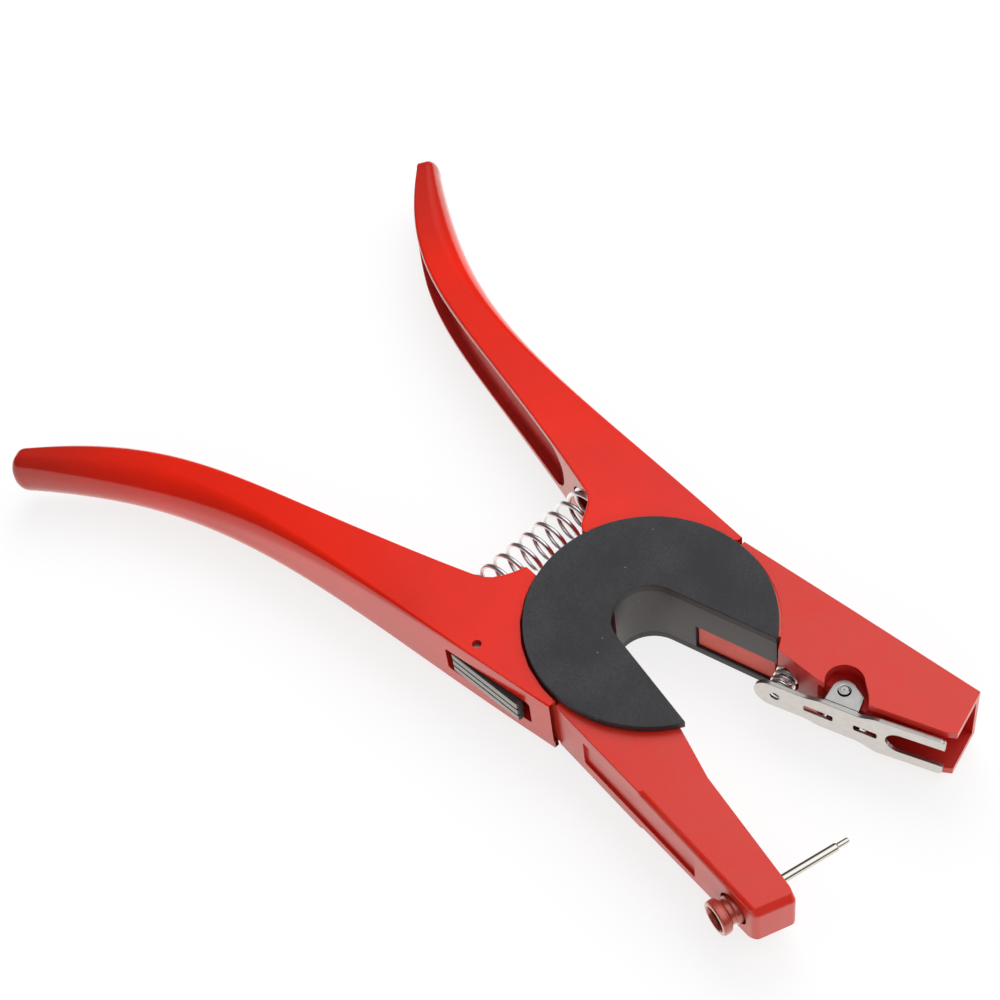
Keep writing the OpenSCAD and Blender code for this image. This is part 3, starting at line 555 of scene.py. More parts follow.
def clip_jaw(edge_r):
    """The channelled jaw that carries the tag clip, outside the head's shoulder."""
    hinge = shift(HINGE_X, HINGE_Y)
    shoulder = arc(HEAD_X, 0, SHOULDER_R, 27.19, 88.68, 48)
    outline = [(22.8, 36.3), (99, 40.8), (102.6, 27.2), (100.2, 25.6), (80.6, 18.6), (66.6, 15.9)] + shoulder
    bm = taper(slab(outline, *BLANK), LEVER_HALF, 9.7)
    cavity = taper(slab([(66.5, 0), (106, 0), (106, 39.3), (66.5, 36.5)], *BLANK), 7.8, 7.3)
    # Room for the clip's ears, through the jaw's walls
    relief = slab([(72, 14), (81.2, 14), (81.2, 18.4), (79, 21.1), (75.5, 23.8), (72, 22)], -1, 25)
    relief = cut(relief, moved(rod(5.2, -2, 26, 96), hinge), "UNION")
    # The boss that fills the channel round the hinge pin, with a pocket for each ear
    boss = box((64, 19.2, 2.5), (79.6, 45, 21.5))
    for low, high in ((16.3, 23), (1, 7.7)):
        boss = cut(boss, moved(rod(6.3, low, high), hinge))
        boss = cut(boss, slab([(75, 13), (81.6, 13), (81.6, 18.6), (79.3, 21.4), (75.8, 24.1)], low, high))
    boss = cut(boss, moved(rod(4, 7.7, 16.3), hinge), "UNION")
    # The channel, relief and ear pockets take the lining on their walls: a darker red, painted shade
    bm = cut(bm, cut(cut(cavity, relief, "UNION"), boss), lined=True)
    spring_well = CLIP_FRAME @ shift(CLIP_SPRING_X, SHEET_Y) @ LIE
    # The spring's well and the hinge pin's bore take the painted shade too
    bm = cut(bm, moved(rod(4.1, 0, 14.6), spring_well), lined=True)
    bm = cut(bm, moved(rod(1.72, 0, 30, 48), hinge), lined=True)
    whole_faces(bm, 0.2, {"MATERIAL"})

    def radius(e):
        if not sharp_edge(e, 50) or not all(abs(abs(v.co.z - MID_Z) - 10) < 0.45 for v in e.verts):
            return 0
        middle = (e.verts[0].co + e.verts[1].co) / 2
        if abs((middle.xy - Vector((HEAD_X, 0))).length - SHOULDER_R) < 0.15:
            return 0.3
        return 0.9 if middle.x > 66 and middle.y < 30 else edge_r

    return soften_each(bm, 4, radius)


def tag_fork():
    """The tag clip in its own frame: a blanked sheet with a forked end and two ears folded up."""
    swell = [(i / 6, ease(i / 6)) for i in range(7)]
    half = arc(-18.2, 0, 4.8, 180, 90, 14)
    half += [(-9 + 5.2 * u, 4.8 + 1.0 * v) for u, v in swell]
    half += [(5.9 + 6 * u, 5.8 + 1.7 * v) for u, v in swell]
    half += arc(28, 6.1, 1.4, 90, 0, 6)
    bm = slab(half + [(x, -y) for x, y in reversed(half[1:])], 0, 1.2)
    fork = cut(rod(3.8, -2, 3, 48), box((0, -3.8, -2), (20, 3.8, 3)), "UNION")
    bm = cut(bm, moved(fork, shift(17.7, 0)))
    # The punch breaks out wider at the back of each slot and of the tail's hole
    for low, high in ((-8.8, -0.6), (5.1, 11.6)):
        slot = box((low, -1.1, -2), (high, 1.1, 3))
        soften(slot, 0.5, 4, upright)
        bm = cut(cut(bm, slot), box((low - 0.5, -1.8, 0.4), (high + 0.5, 1.8, 3)))
    for r, low in ((1.4, -2), (2.1, 0.4)):
        bm = cut(bm, moved(rod(r, low, 3, 32), shift(-17, 0)))
    whole_faces(bm, 0.2)
    soften(bm, 0.22, 3, lambda e: sharp_edge(e) and not upright(e, 0.5))
    # The fork is bent a little away from the jaw
    bend_x = 12
    split_at(bm, bend_x)
    bend = shift(bend_x, 0) @ turn(-3.5, "Y") @ shift(-bend_x, 0)
    bmesh.ops.transform(bm, matrix=bend, verts=[v for v in bm.verts if v.co.x > bend_x + 0.01])
    # From flat to its place under the hinge: across becomes Z, and the sheet's face looks along Y
    moved(bm, shift(0, SHEET_Y) @ Matrix(((1, 0, 0, 0), (0, 0, 1, 0), (0, -1, 0, 0), (0, 0, 0, 1))))
    for side in (-1, 1):
        ear = slab([(-3.8, -5.7), (5.9, -5.7), (5.5, 0.2), (2.4, 2.4)] + arc(0, 0, 3.4, 52, 180, 12), -0.6, 0.6)
        ear = cut(ear, rod(1.75, -3, 3, 48))
        soften(ear, 0.2, 2, lambda e: sharp_edge(e) and not upright(e, 0.5))
        bm = cut(bm, moved(ear, shift(0, 0, EAR_Z * side)), "UNION")
        # The fold leaves a groove along the ear's foot
        bm = cut(bm, moved(box((-3.6, -4.7, -0.2), (5.7, -4.3, 0.2)), shift(0, 0, 5.8 * side)))
    return bm


def rolled_pin(radius, length):
    """A coiled spring pin along Z: a strip rolled up tight, to over three turns."""
    bm = bmesh.new()
    # The outer turn runs true for most of the way, and the rest winds inwards
    turns, steps, strip, pitch, true_turn = 3.6, 144, 0.41, 0.43, 0.9
    points = []
    for i in range(steps + 1):
        a = 2 * math.pi * turns * i / steps
        r = radius - strip / 2 - pitch * max(0, turns * i / steps - true_turn)
        points.append(bm.verts.new((r * math.cos(a), r * math.sin(a), -length / 2)))
    edges = [bm.edges.new(pair) for pair in zip(points, points[1:])]
    wall = bmesh.ops.extrude_edge_only(bm, edges=edges)
    bmesh.ops.translate(bm, vec=(0, 0, length), verts=[v for v in wall["geom"] if isinstance(v, bmesh.types.BMVert)])
    bmesh.ops.recalc_face_normals(bm, faces=bm.faces)
    bmesh.ops.solidify(bm, geom=bm.faces, thickness=strip)
    bmesh.ops.recalc_face_normals(bm, faces=bm.faces)
    return bm


def flange_screw():
    """The hollow flanged screw, its head towards -Z."""
    barrel = turned([
        (0, -6.4), (3.2, -6.4), (3.2, -10.8), (4.0, -11.2), (4.0, -13.4), (3.9, -13.7), (3.5, -14.0), (3.5, -15.0),
        (4.6, -15.8), (4.6, -16.4), (0, -16.4),
    ])
    head = rod(5.5, -18.2, -15.9, 6)
    soften(head, 2.4, 6, lambda e: upright(e, 1))
    soften(head, 0.5, 3, sharp_edge)
    bm = cut(barrel, head, "UNION")
    bm = cut(bm, rod(3.0, -20, -12.5), lined=True)
    return cut(bm, rod(4.1, -18.9, -17.2, radius_high=3.0))


# Finishes


def add_node(tree, kind, settings=None, links=None):
    """Adds a node, sets its fields and input values, and links inputs from other nodes' outputs."""
    node = tree.nodes.new(kind)
    for key, value in (settings or {}).items():
        if isinstance(key, int) or key in node.inputs:
            node.inputs[key].default_value = value
        else:
            setattr(node, key, value)
    for key, (other, output) in (links or {}).items():
        tree.links.new(other.outputs[output], node.inputs[key])
    return node


def new_finish(name, settings):
    """A material with its shader, set so, and the piece's own coordinates."""
    material = bpy.data.materials.new(name)
    material.use_nodes = True
    tree = material.node_tree
    tree.nodes.clear()
    coords = add_node(tree, "ShaderNodeTexCoord")
    shader = add_node(tree, "ShaderNodeBsdfPrincipled", settings)
    add_node(tree, "ShaderNodeOutputMaterial", links={"Surface": (shader, "BSDF")})
    return tree, coords, shader


def per_mm(size):
    """Texture scale at which one cell is that many mm."""
    return 1 / (size * MM)


def noise(tree, coords, size, detail):
    """Noise with clouds of that many mm."""
    settings = {"Scale": per_mm(size), "Detail": detail}
    return add_node(tree, "ShaderNodeTexNoise", settings, {"Vector": (coords, "Object")})


def ramp(tree, value, low=0, high=1, start=0, end=1):
    """A value's run from start to end, as low to high."""
    settings = {"From Min": start, "From Max": end, "To Min": low, "To Max": high}
    return add_node(tree, "ShaderNodeMapRange", settings, {"Value": value})


def flecks(tree, coords, cell, size):
    """Scattered round spots of a size in mm, about one to a cell."""
    cells = add_node(tree, "ShaderNodeTexVoronoi", {"Scale": per_mm(cell)}, {"Vector": (coords, "Object")})
    return ramp(tree, (cells, "Distance"), start=size / cell, end=0.6 * size / cell)


def tinted(tree, first, second, factor):
    """Mixes two colours, with or without alpha, of which the first may be another mix."""
    settings, links = {"data_type": "RGBA"}, {"Factor": factor}
    if isinstance(first, bpy.types.Node):
        links[6] = (first, 2)
    else:
        settings[6] = (*first, 1)[:4]
    settings[7] = (*second, 1)[:4]
    return add_node(tree, "ShaderNodeMix", settings, links)


def relief(tree, grain, strength, height):
    """A bump of that many mm that follows a noise."""
    settings = {"Strength": strength, "Distance": height * MM}
    return add_node(tree, "ShaderNodeBump", settings, {"Height": (grain, "Fac")})


def wire_up(tree, shader, tint, rough, bump):
    """Gives the shader its colour, roughness and relief."""
    tree.links.new(tint.outputs[2], shader.inputs["Base Color"])
    if rough:
        tree.links.new(rough.outputs[0], shader.inputs["Roughness"])
    tree.links.new(bump.outputs[0], shader.inputs["Normal"])


def red_enamel(name, full, thin, cloud_mm, rough_low, rough_high, grimed=False):
    """Red stove enamel: the colour and the gloss drift in clouds, over a slight orange peel with a few pinholes."""
    tree, coords, shader = new_finish(name, {"IOR": 1.5})
    drift = noise(tree, coords, cloud_mm, 4.0)
    cloud = ramp(tree, (drift, "Fac"), start=0.2, end=0.8)
    tint = tinted(tree, full, thin, (cloud, 0))
    if grimed:
        # Handling darkens the last 40 mm of each grip
        at = add_node(tree, "ShaderNodeSeparateXYZ", links={0: (coords, "Object")})
        grime = ramp(tree, (at, "X"), high=0.8, start=-0.118, end=-0.16)
        tint = tinted(tree, tint, linear("#9C2016"), (grime, 0))
    tint = tinted(tree, tint, linear("#5A100C"), (flecks(tree, coords, 12, 0.24), 0))
    rough = ramp(tree, (cloud, 0), rough_low, rough_high)
    wire_up(tree, shader, tint, rough, relief(tree, noise(tree, coords, 1.8, 2.0), 0.14, 0.1))


def head_plastic(name, full, pale, rough_low, rough_high):
    """Black moulded nylon with a fine grain and a little pale dust."""
    tree, coords, shader = new_finish(name, {"IOR": 1.53})
    grain = noise(tree, coords, 0.7, 3.0)
    cloud = noise(tree, coords, 14, 4.0)
    mixed = add_node(tree, "ShaderNodeMath", {"operation": "MULTIPLY"}, {0: (grain, "Fac"), 1: (cloud, "Fac")})
    spread = ramp(tree, (mixed, 0), start=0.15, end=0.4)
    tint = tinted(tree, full, pale, (spread, 0))
    tint = tinted(tree, tint, linear("#8C8A86"), (flecks(tree, coords, 5, 0.2), 0))
    rough = ramp(tree, (grain, "Fac"), rough_low, rough_high)
    wire_up(tree, shader, tint, rough, relief(tree, grain, 0.3, 0.08))


def metal(name, colour, grain_mm, rough_low, rough_high, bump_strength):
    """A bare or plated metal: even colour, with a roughness and a fine relief that follow its working."""
    tree, coords, shader = new_finish(name, {"Metallic": 1.0})
    grain = noise(tree, coords, grain_mm, 4.0)
    tint = tinted(tree, colour, [c * 0.82 for c in colour], (grain, "Fac"))
    rough = ramp(tree, (grain, "Fac"), rough_low, rough_high)
    wire_up(tree, shader, tint, rough, relief(tree, grain, bump_strength, 0.05))


def lacquer(name, full, dark):
    """A thin lacquer dipped over steel: it runs unevenly, and some of the metal's sheen comes through."""
    tree, coords, shader = new_finish(name, {
        "Roughness": 0.3, "IOR": 1.5, "Coat Weight": 0.8, "Coat Roughness": 0.12, "Metallic": 0.25,
    })
    run = noise(tree, coords, 2.4, 3.0)
    tint = tinted(tree, linear(full), linear(dark), (run, "Fac"))
    wire_up(tree, shader, tint, None, relief(tree, run, 0.2, 0.1))


ENAMEL = "stoved_red_enamel_on_die_cast_aluminium"
NYLON = "moulded_glass_filled_nylon_eroded"
SATIN = "moulded_glass_filled_nylon_satin"
NICKEL = "bright_nickel_on_pressed_sheet"
WIRE = "bright_zinc_on_spring_wire"
PIN = "ground_and_polished_steel"
ZINC = "zinc_on_turned_steel"
BRASS = "turned_brass"
SCREW = "dipped_red_lacquer_on_steel"
JAW_ENAMEL = "stoved_red_enamel_dulled_by_use"
# Painted reflection: the lap's paler enamel stands in for the pale floor it mirrors
LAP_ENAMEL_PAINTED_LIGHT = "stoved_red_enamel_rubbed_pale"
# Painted shade: the recess finish's darker red stands in for the shade inside slots, pockets and bores
RECESS_PAINTED_SHADE = "thin_red_enamel_in_cast_recess"
# Partly painted sheen: the rocker's outward faces are scuffed, and are painted pale for the floor's sheen as well
RUBBED_AND_SHEEN = "moulded_glass_filled_nylon_rubbed_bright"
SOCKET = "bare_steel_socket_oiled"


# Stage


def paint_sky(scene):
    """A large soft box overhead, a little behind the tool, in a room that is dark towards the horizon."""
    scene.world = bpy.data.worlds.new("studio")
    scene.world.use_nodes = True
    sky = scene.world.node_tree
    look = add_node(sky, "ShaderNodeTexCoord")
    side = add_node(sky, "ShaderNodeVectorMath", {
        "operation": "DOT_PRODUCT", 1: Vector((0.25, 0.45, 0.86)).normalized(),
    }, {0: (look, "Generated")})
    glow = ramp(sky, (side, "Value"), 0.1, 1.9, 0.6, 1.0)
    glow.interpolation_type = "SMOOTHSTEP"
    # Seen straight on, the room is as white as the floor
    path = add_node(sky, "ShaderNodeLightPath")
    seen = add_node(sky, "ShaderNodeMix", {3: 1.0}, {"Factor": (path, "Is Camera Ray"), 2: (glow, 0)})
    sky.links.new(seen.outputs[0], sky.nodes["Background"].inputs["Strength"])
    sky.nodes["Background"].inputs["Color"].default_value = linear("#FFFFFF")


def lay_floor(scene):
    """A round of matt white paper under the tool, white to the camera and in the gloss."""
    bm = bmesh.new()
    bmesh.ops.create_circle(bm, cap_ends=True, segments=96, radius=3)
    bmesh.ops.translate(bm, vec=(0, 0, -0.3 * MM), verts=bm.verts)
    mesh = bpy.data.meshes.new("floor")
    bm.to_mesh(mesh)
    bm.free()
    floor = bpy.data.objects.new("floor", mesh)
    scene.collection.objects.link(floor)
    paper = bpy.data.materials.new("matt_white_paper")
    paper.use_nodes = True
    tree = paper.node_tree
    tree.nodes.clear()
    path = add_node(tree, "ShaderNodeLightPath")
    glossy = (path, "Is Glossy Ray")
    seen = add_node(tree, "ShaderNodeMath", {"operation": "MAXIMUM"}, {0: (path, "Is Camera Ray"), 1: glossy})
    seen = add_node(tree, "ShaderNodeMath", {"operation": "MAXIMUM"}, {0: (seen, 0), 1: (path, "Is Transmission Ray")})
    share = add_node(tree, "ShaderNodeMath", {"operation": "MULTIPLY", 1: 0.8}, {0: (seen, 0)})
    bright = add_node(tree, "ShaderNodeMath", {"operation": "MULTIPLY_ADD", 1: 0.5, 2: 1.0}, {0: glossy})
    warm = tinted(tree, linear("#FFFFFF"), linear("#FFFAF4"), glossy)
    paint = add_node(tree, "ShaderNodeBsdfDiffuse", {"Color": linear("#F4F4F4")})
    white = add_node(tree, "ShaderNodeEmission", links={"Color": (warm, 2), "Strength": (bright, 0)})
    mix = add_node(tree, "ShaderNodeMixShader", links={0: (share, 0), 1: (paint, 0), 2: (white, 0)})
    add_node(tree, "ShaderNodeOutputMaterial", links={"Surface": (mix, 0)})
    mesh.materials.append(paper)


def hang_lamps(scene):
    """Lamps that light the part only: what mirrors in the gloss is the soft box and the floor."""
    for name, at, power, size in (
        ("key", (-0.58, 0.65, 0.96), 9.4, 1.0),
        ("fill", (0.7, -0.9, 0.8), 6.0, 1.2),
    ):
        lamp = bpy.data.lights.new(name, "AREA")
        lamp.shape, lamp.size, lamp.energy = "DISK", size, power
        lamp_obj = bpy.data.objects.new(name, lamp)
        scene.collection.objects.link(lamp_obj)
        lamp_obj.visible_glossy = False
        lamp_obj.location = at
        lamp_obj.rotation_euler = (Vector((0, 0, 0.01)) - Vector(at)).to_track_quat("-Z", "Y").to_euler()


def aim_camera(scene):
    """Puts the camera at the photograph's angle."""
    # View angles, and the head's middle from the lens, in mm: across, down and away
    azimuth, elevation, roll = (math.radians(a) for a in (53.32, 51.21, 9.09))
    offset = (40.85, 38.49, 555.38)
    sensor, focal_share = 36, 2.0617
    away = Vector((
        -math.sin(azimuth) * math.cos(elevation), math.cos(azimuth) * math.cos(elevation), -math.sin(elevation),
    ))
    level = Vector((math.cos(azimuth), math.sin(azimuth), 0))
    drop = away.cross(level)
    across = math.cos(roll) * level + math.sin(roll) * drop
    down = math.cos(roll) * drop - math.sin(roll) * level
    at = Vector((HEAD_X, 0, MID_Z)) - offset[0] * across - offset[1] * down - offset[2] * away
    camera = bpy.data.objects.new("camera", bpy.data.cameras.new("camera"))
    scene.collection.objects.link(camera)
    camera.data.sensor_width = sensor
    camera.data.lens = sensor * focal_share
    camera.data.clip_start = 0.01
    camera.matrix_world = Matrix.Translation(at * MM) @ Matrix((across, -down, -away)).transposed().to_4x4()
    scene.camera = camera


# Settings

LENGTH = {"unit": "LENGTH", "subtype": "DISTANCE"}
COLOUR = {"subtype": "COLOR", "size": 3}


class PliersSizes(bpy.types.PropertyGroup):
    """Sizes that a user would change."""

    edge_round: FloatProperty(
        name="Edge Rounding", description="Radius on the levers' edges beside the head", default=0.6 * MM, **LENGTH
    )
    slot_height: FloatProperty(
        name="Handle Slot Height", description="Height of the slot in each handle", default=16 * MM, **LENGTH
    )
    slot_depth: FloatProperty(
        name="Handle Slot Depth", description="Depth of the slot in each handle", default=6 * MM, **LENGTH
    )
    plate_round: FloatProperty(
        name="Plate Rounding", description="Radius on the rim of the head plates", default=0.7 * MM, **LENGTH
    )
    spring_wire: FloatProperty(
        name="Return Spring Wire", description="Wire diameter of the handles' spring", default=1.4 * MM, **LENGTH
    )
    spring_curls: IntProperty(
        name="Return Spring Curls", description="Turns of the handles' spring", default=11, min=4, max=20
    )


class PliersColours(bpy.types.PropertyGroup):
    """Colours that a user would change."""

    enamel: FloatVectorProperty(name="Enamel", description="Red of the levers", default=rgb("#DF1F05"), **COLOUR)
    enamel_thin: FloatVectorProperty(
        name="Thin Enamel", description="Red where the enamel is thinner", default=rgb("#CB1C0A"), **COLOUR
    )
    enamel_dull: FloatVectorProperty(
        name="Dull Enamel", description="Red where the enamel has gone chalky", default=rgb("#C43226"), **COLOUR
    )
    # Painted shade: this darker red stands in for the shade in the cast recesses
    recess: FloatVectorProperty(
        name="Recess Enamel", description="Red in the cast recesses", default=rgb("#C01A10"), **COLOUR
    )
    plastic: FloatVectorProperty(
        name="Head", description="Black of the moulded head", default=rgb("#252528"), **COLOUR
    )
    plastic_dust: FloatVectorProperty(
        name="Head Grain", description="Paler grain of the moulded head", default=rgb("#363639"), **COLOUR
    )
    nickel: FloatVectorProperty(name="Clip", description="Nickel of the tag clip", default=rgb("#BFBEBC"), **COLOUR)
    wire: FloatVectorProperty(name="Springs", description="Zinc of the spring wire", default=rgb("#E6E7EA"), **COLOUR)
    pin: FloatVectorProperty(
        name="Applicator Pin", description="Steel of the applicator pin", default=rgb("#C8C5BF"), **COLOUR
    )


# Operators


class PLIERS_OT_stage(bpy.types.Operator):
    """Lays a pale floor, sets soft lamps and puts the camera at the photograph's angle"""

    bl_idname = "pliers.stage"
    bl_label = "Stage"

    def execute(self, context):
        context.scene.view_settings.view_transform = "Standard"
        for step in (paint_sky, lay_floor, hang_lamps, aim_camera):
            step(context.scene)
        return {"FINISHED"}


class PLIERS_OT_finishes(bpy.types.Operator):
    """Mixes the enamel, moulded plastic and metal finishes"""

    bl_idname = "pliers.finishes"
    bl_label = "Finishes"

    def execute(self, context):
        colours = context.scene.pliers_colours
        # Stove enamel over a die casting: an even red with a wet gloss
        red_enamel(ENAMEL, colours.enamel, colours.enamel_thin, 24, 0.13, 0.19, True)
        # The same enamel on the jaws, handled more: chalky in clouds, with a softer gloss
        red_enamel(JAW_ENAMEL, colours.enamel_thin, colours.enamel_dull, 7, 0.26, 0.38)
        # Painted reflection on the clip lever's lap: a paler red stands in for the pale floor it mirrors where it shows
        # in the window, and it is nearly matt
        red_enamel(LAP_ENAMEL_PAINTED_LIGHT, rgb("#E2513A"), rgb("#D6503E"), 7, 0.34, 0.46)
        # Painted shade in cast recesses: a darker red stands in for the shade that falls there, and it is too rough to
        # shine
        red_enamel(RECESS_PAINTED_SHADE, colours.recess, rgb("#A4160E"), 6, 0.42, 0.55)
        # Glass-filled nylon moulded in an eroded tool: a dull, finely speckled black that catches a little dust
        head_plastic(NYLON, colours.plastic, colours.plastic_dust, 0.5, 0.68)
        # The same nylon from a drawn core: satin, so that the throat picks up the pale floor
        head_plastic(SATIN, colours.plastic, colours.plastic_dust, 0.4, 0.52)
        # The same nylon where a thumb rubs it: scuffed, and painted a pale grey that also stands in for the pale
        # floor's sheen on the outward faces
        head_plastic(RUBBED_AND_SHEEN, rgb("#8E8C87"), rgb("#A09E98"), 0.3, 0.42)
        # Bright nickel on blanked sheet: white, a little warm, smooth with faint drawing marks
        metal(NICKEL, colours.nickel, 1.6, 0.26, 0.38, 0.06)
        # Zinc on drawn wire: cool, pale and satin, so that the wire stays light on every side
        metal(WIRE, colours.wire, 0.8, 0.24, 0.34, 0.05)
        # Ground steel, polished: a warm mirror, white where it meets the floor, with dark edges
        metal(PIN, colours.pin, 0.6, 0.05, 0.1, 0.03)
        # Zinc on turned steel: grey and slightly cloudy
        metal(ZINC, rgb("#A9ABAE"), 0.9, 0.25, 0.4, 0.08)
        # Turned brass, warm and satin: the bush is hidden until the tool is taken apart
        metal(BRASS, rgb("#C4A257"), 0.9, 0.22, 0.34, 0.06)
        # Bare steel in the screw's socket, with old oil: dark and brown
        metal(SOCKET, rgb("#8A6A44"), 0.7, 0.35, 0.5, 0.1)
        # Lacquer dipped over steel: a browner, thinner red than the enamel, with the metal's sheen under it
        lacquer(SCREW, "#BC4A3C", "#94352B")
        return {"FINISHED"}


class PLIERS_OT_handles(bpy.types.Operator):
    """Lofts the two handles and cuts the spring pockets and the lock's slot"""

    bl_idname = "pliers.handles"
    bl_label = "Handles"

    def execute(self, context):
        sizes = context.scene.pliers_sizes
        to_spring = shift(*SPRING_AT) @ LIE
        pocket_r, pocket_from = 6.8, 9
        upper = handle(sizes, UPPER_SPREAD, 0.06, UPPER_HORN)
        # The spring's pocket and the slot take the lining: a darker red, painted shade
        upper = cut(upper, moved(rod(pocket_r, pocket_from, SPRING_HALF), to_spring), lined=True)
        piece("pin_lever_handle", upper, ENAMEL, "pin_lever", ["pin_lever"], lining=RECESS_PAINTED_SHADE)
        lower = handle(sizes, LOWER_SPREAD, 0.2, LOWER_HORN)
        bmesh.ops.scale(lower, vec=(1, -1, 1), verts=lower.verts)
        bmesh.ops.reverse_faces(lower, faces=lower.faces)
        lower = cut(lower, moved(rod(pocket_r, -SPRING_HALF, -pocket_from), to_spring), lined=True)
        deep = LOCK_SLOT_HALF
        slot = box((-14.9, -4, -deep), (14.9, 3.6, deep))
        soften(slot, 1.0, 4, inward)
        eye = cut(moved(rod(3.4, -deep, deep, 48), LOCK_HINGE), box((-9.2, 0, -deep), (-2.4, 3.8, deep)), "UNION")
        bore = cut(rod(1.02, -20, 20, 32), rod(1.3, 8.7, 21, 32), "UNION")
        # The lock's slot, eye, bore and spring's hole take the lining on their walls: painted shade
        for cutter in (slot, eye, moved(bore, LOCK_HINGE), moved(rod(2.1, 0, 8, 48), LOCK_SPRING)):
            lower = cut(lower, moved(cutter, LOCK_FRAME), lined=True)
        piece("clip_lever_handle", lower, ENAMEL, "clip_lever", ["clip_lever"], lining=RECESS_PAINTED_SHADE)
        return {"FINISHED"}


class PLIERS_OT_jaws(bpy.types.Operator):
    """Keeps the laps from the frame and models the pin jaw and the clip jaw"""

    bl_idname = "pliers.jaws"
    bl_label = "Laps and Jaws"

    def execute(self, context):
        edge_r = in_mm(context.scene.pliers_sizes.edge_round)
        # The clip lever's lap takes the paler enamel, a painted reflection
        for node, finish in (("clip_lever", LAP_ENAMEL_PAINTED_LIGHT), ("pin_lever", JAW_ENAMEL)):
            bm = cut(cad_copy(node), moved(rod(LAP_R, -10, 40, 128), shift(HEAD_X, 0)), "INTERSECT")
            if node == "pin_lever":
                # The pin jaw takes over here
                bm = cut(bm, box((PIN_JAW_X, -60, -5), (80, 0, 30)))
            whole_faces(bm)
            piece(node + "_lap", bm, finish, node, [node], weighted=True)
        # Each jaw's channel, bores and wells take the lining: painted shade
        for node, jaw in (("pin_lever", pin_jaw), ("clip_lever", clip_jaw)):
            piece(node + "_jaw", jaw(edge_r), JAW_ENAMEL, node, [node], weighted=True, lining=RECESS_PAINTED_SHADE)
        return {"FINISHED"}


class PLIERS_OT_head(bpy.types.Operator):
    """Models the two head plates and the throat liner"""

    bl_idname = "pliers.head"
    bl_label = "Head"

    def execute(self, context):
        rim = in_mm(context.scene.pliers_sizes.plate_round)
        for name, low, high, face in (("front_plate", 21.8, 24, 24), ("rear_plate", 0, 2.2, 0)):
            bm = moved(rod(HEAD_R, low, high, 192), shift(HEAD_X, 0))
            bm = cut(bm, throat(low - 1, high + 1))
            whole_faces(bm)
            soften(bm, 0.4, 3, lambda e: sharp_edge(e) and upright(e, 1))
            soften(bm, rim, 4, lambda e: sharp_edge(e) and all(abs(v.co.z - face) < 0.01 for v in e.verts))
            if name == "front_plate":
                for x, y in PEGS:
                    bm = cut(bm, moved(rod(2.4, 13.8, 22.5, 48), shift(x, y)), "UNION")
            else:
                for x, y in SCREWS:
                    # The countersink, the step over the screw's head and the clearance hole
                    for hole in (rod(3.22, 0.2, 1.8, 48, 1.62), rod(3.22, -1, 0.201, 48), rod(1.62, 1, 3, 48)):
                        bm = cut(bm, moved(hole, shift(x, y)))
            piece(name + "_cover", bm, NYLON, "clip_lever", [name], weighted=True)
        bm = cad_copy("throat_liner")
        soften(bm, 0.15, 2, sharp_edge)
        piece("throat_wall", bm, SATIN, "clip_lever", ["throat_liner"], weighted=True)
        return {"FINISHED"}


class PLIERS_OT_lock(bpy.types.Operator):
    """Models the ribbed lock rocker"""

    bl_idname = "pliers.lock"
    bl_label = "Lock Rocker"

    def execute(self, context):
        half, groove_half = ROCKER_HALF, 0.35
        bm = box((-12.6, -0.5, -half), (12.6, 1.9, half))
        soften(bm, 0.6, 3, lambda e: True)
        for z in (-1.37, 1.37):
            bm = cut(bm, box((-20, -2, z - groove_half), (20, 0, z + groove_half)))
        eye = cut(moved(rod(2.5, -half, half, 48), LOCK_HINGE), box((-8.3, 0.9, -half), (-3.3, 3.8, half)), "UNION")
        bm = cut(bm, eye, "UNION")
        bm = cut(bm, moved(rod(1.05, -6, 6, 32), LOCK_HINGE))
        # The thumb rubs the tops of the ribs, and their pale grey is also a painted sheen from the floor
        for face in bm.faces:
            face.material_index = int(face.normal.y < -0.9 and face.calc_center_median().y < -0.4)
        moved(bm, ROCKER_FRAME)
        piece("lock_rocker", bm, NYLON, "lock_lever", ["lock_lever"], weighted=True, lining=RUBBED_AND_SHEEN)
        return {"FINISHED"}


class PLIERS_OT_clip(bpy.types.Operator):
    """Presses the tag clip from sheet and rolls its hinge pin"""

    bl_idname = "pliers.clip"
    bl_label = "Tag Clip"

    def execute(self, context):
        piece("tag_fork", moved(tag_fork(), CLIP_FRAME), NICKEL, "tag_clip", ["tag_clip"], weighted=True)
        pin = moved(rolled_pin(1.7, 12.6), CLIP_FRAME)
        piece("rolled_pin", pin, NICKEL, "clip_lever", ["clip_pin"])
        return {"FINISHED"}


class PLIERS_OT_applicator(bpy.types.Operator):
    """Turns the applicator pin and the screw that holds it"""

    bl_idname = "pliers.applicator"
    bl_label = "Applicator Pin"

    def execute(self, context):
        pin = turned([
            (0, -6.4), (2.7, -6.4), (2.7, -4.8), (1.6, -4.8), (1.6, 0.1), (1.5, 0.2), (1.2, 0.2), (1.2, 17.9),
            (1.12, 18.2), (0.95, 18.4), (0.8, 18.5), (0.8, 21.3), (0.65, 21.7), (0.3, 21.8), (0, 21.8),
        ], 48)
        piece("stepped_pin", moved(pin, PIN_FRAME), PIN, "pin_lever", ["applicator_pin"])
        screw = moved(flange_screw(), PIN_FRAME)
        piece("flange_screw", screw, SCREW, "pin_lever", ["pin_screw"], weighted=True, lining=SOCKET)
        return {"FINISHED"}


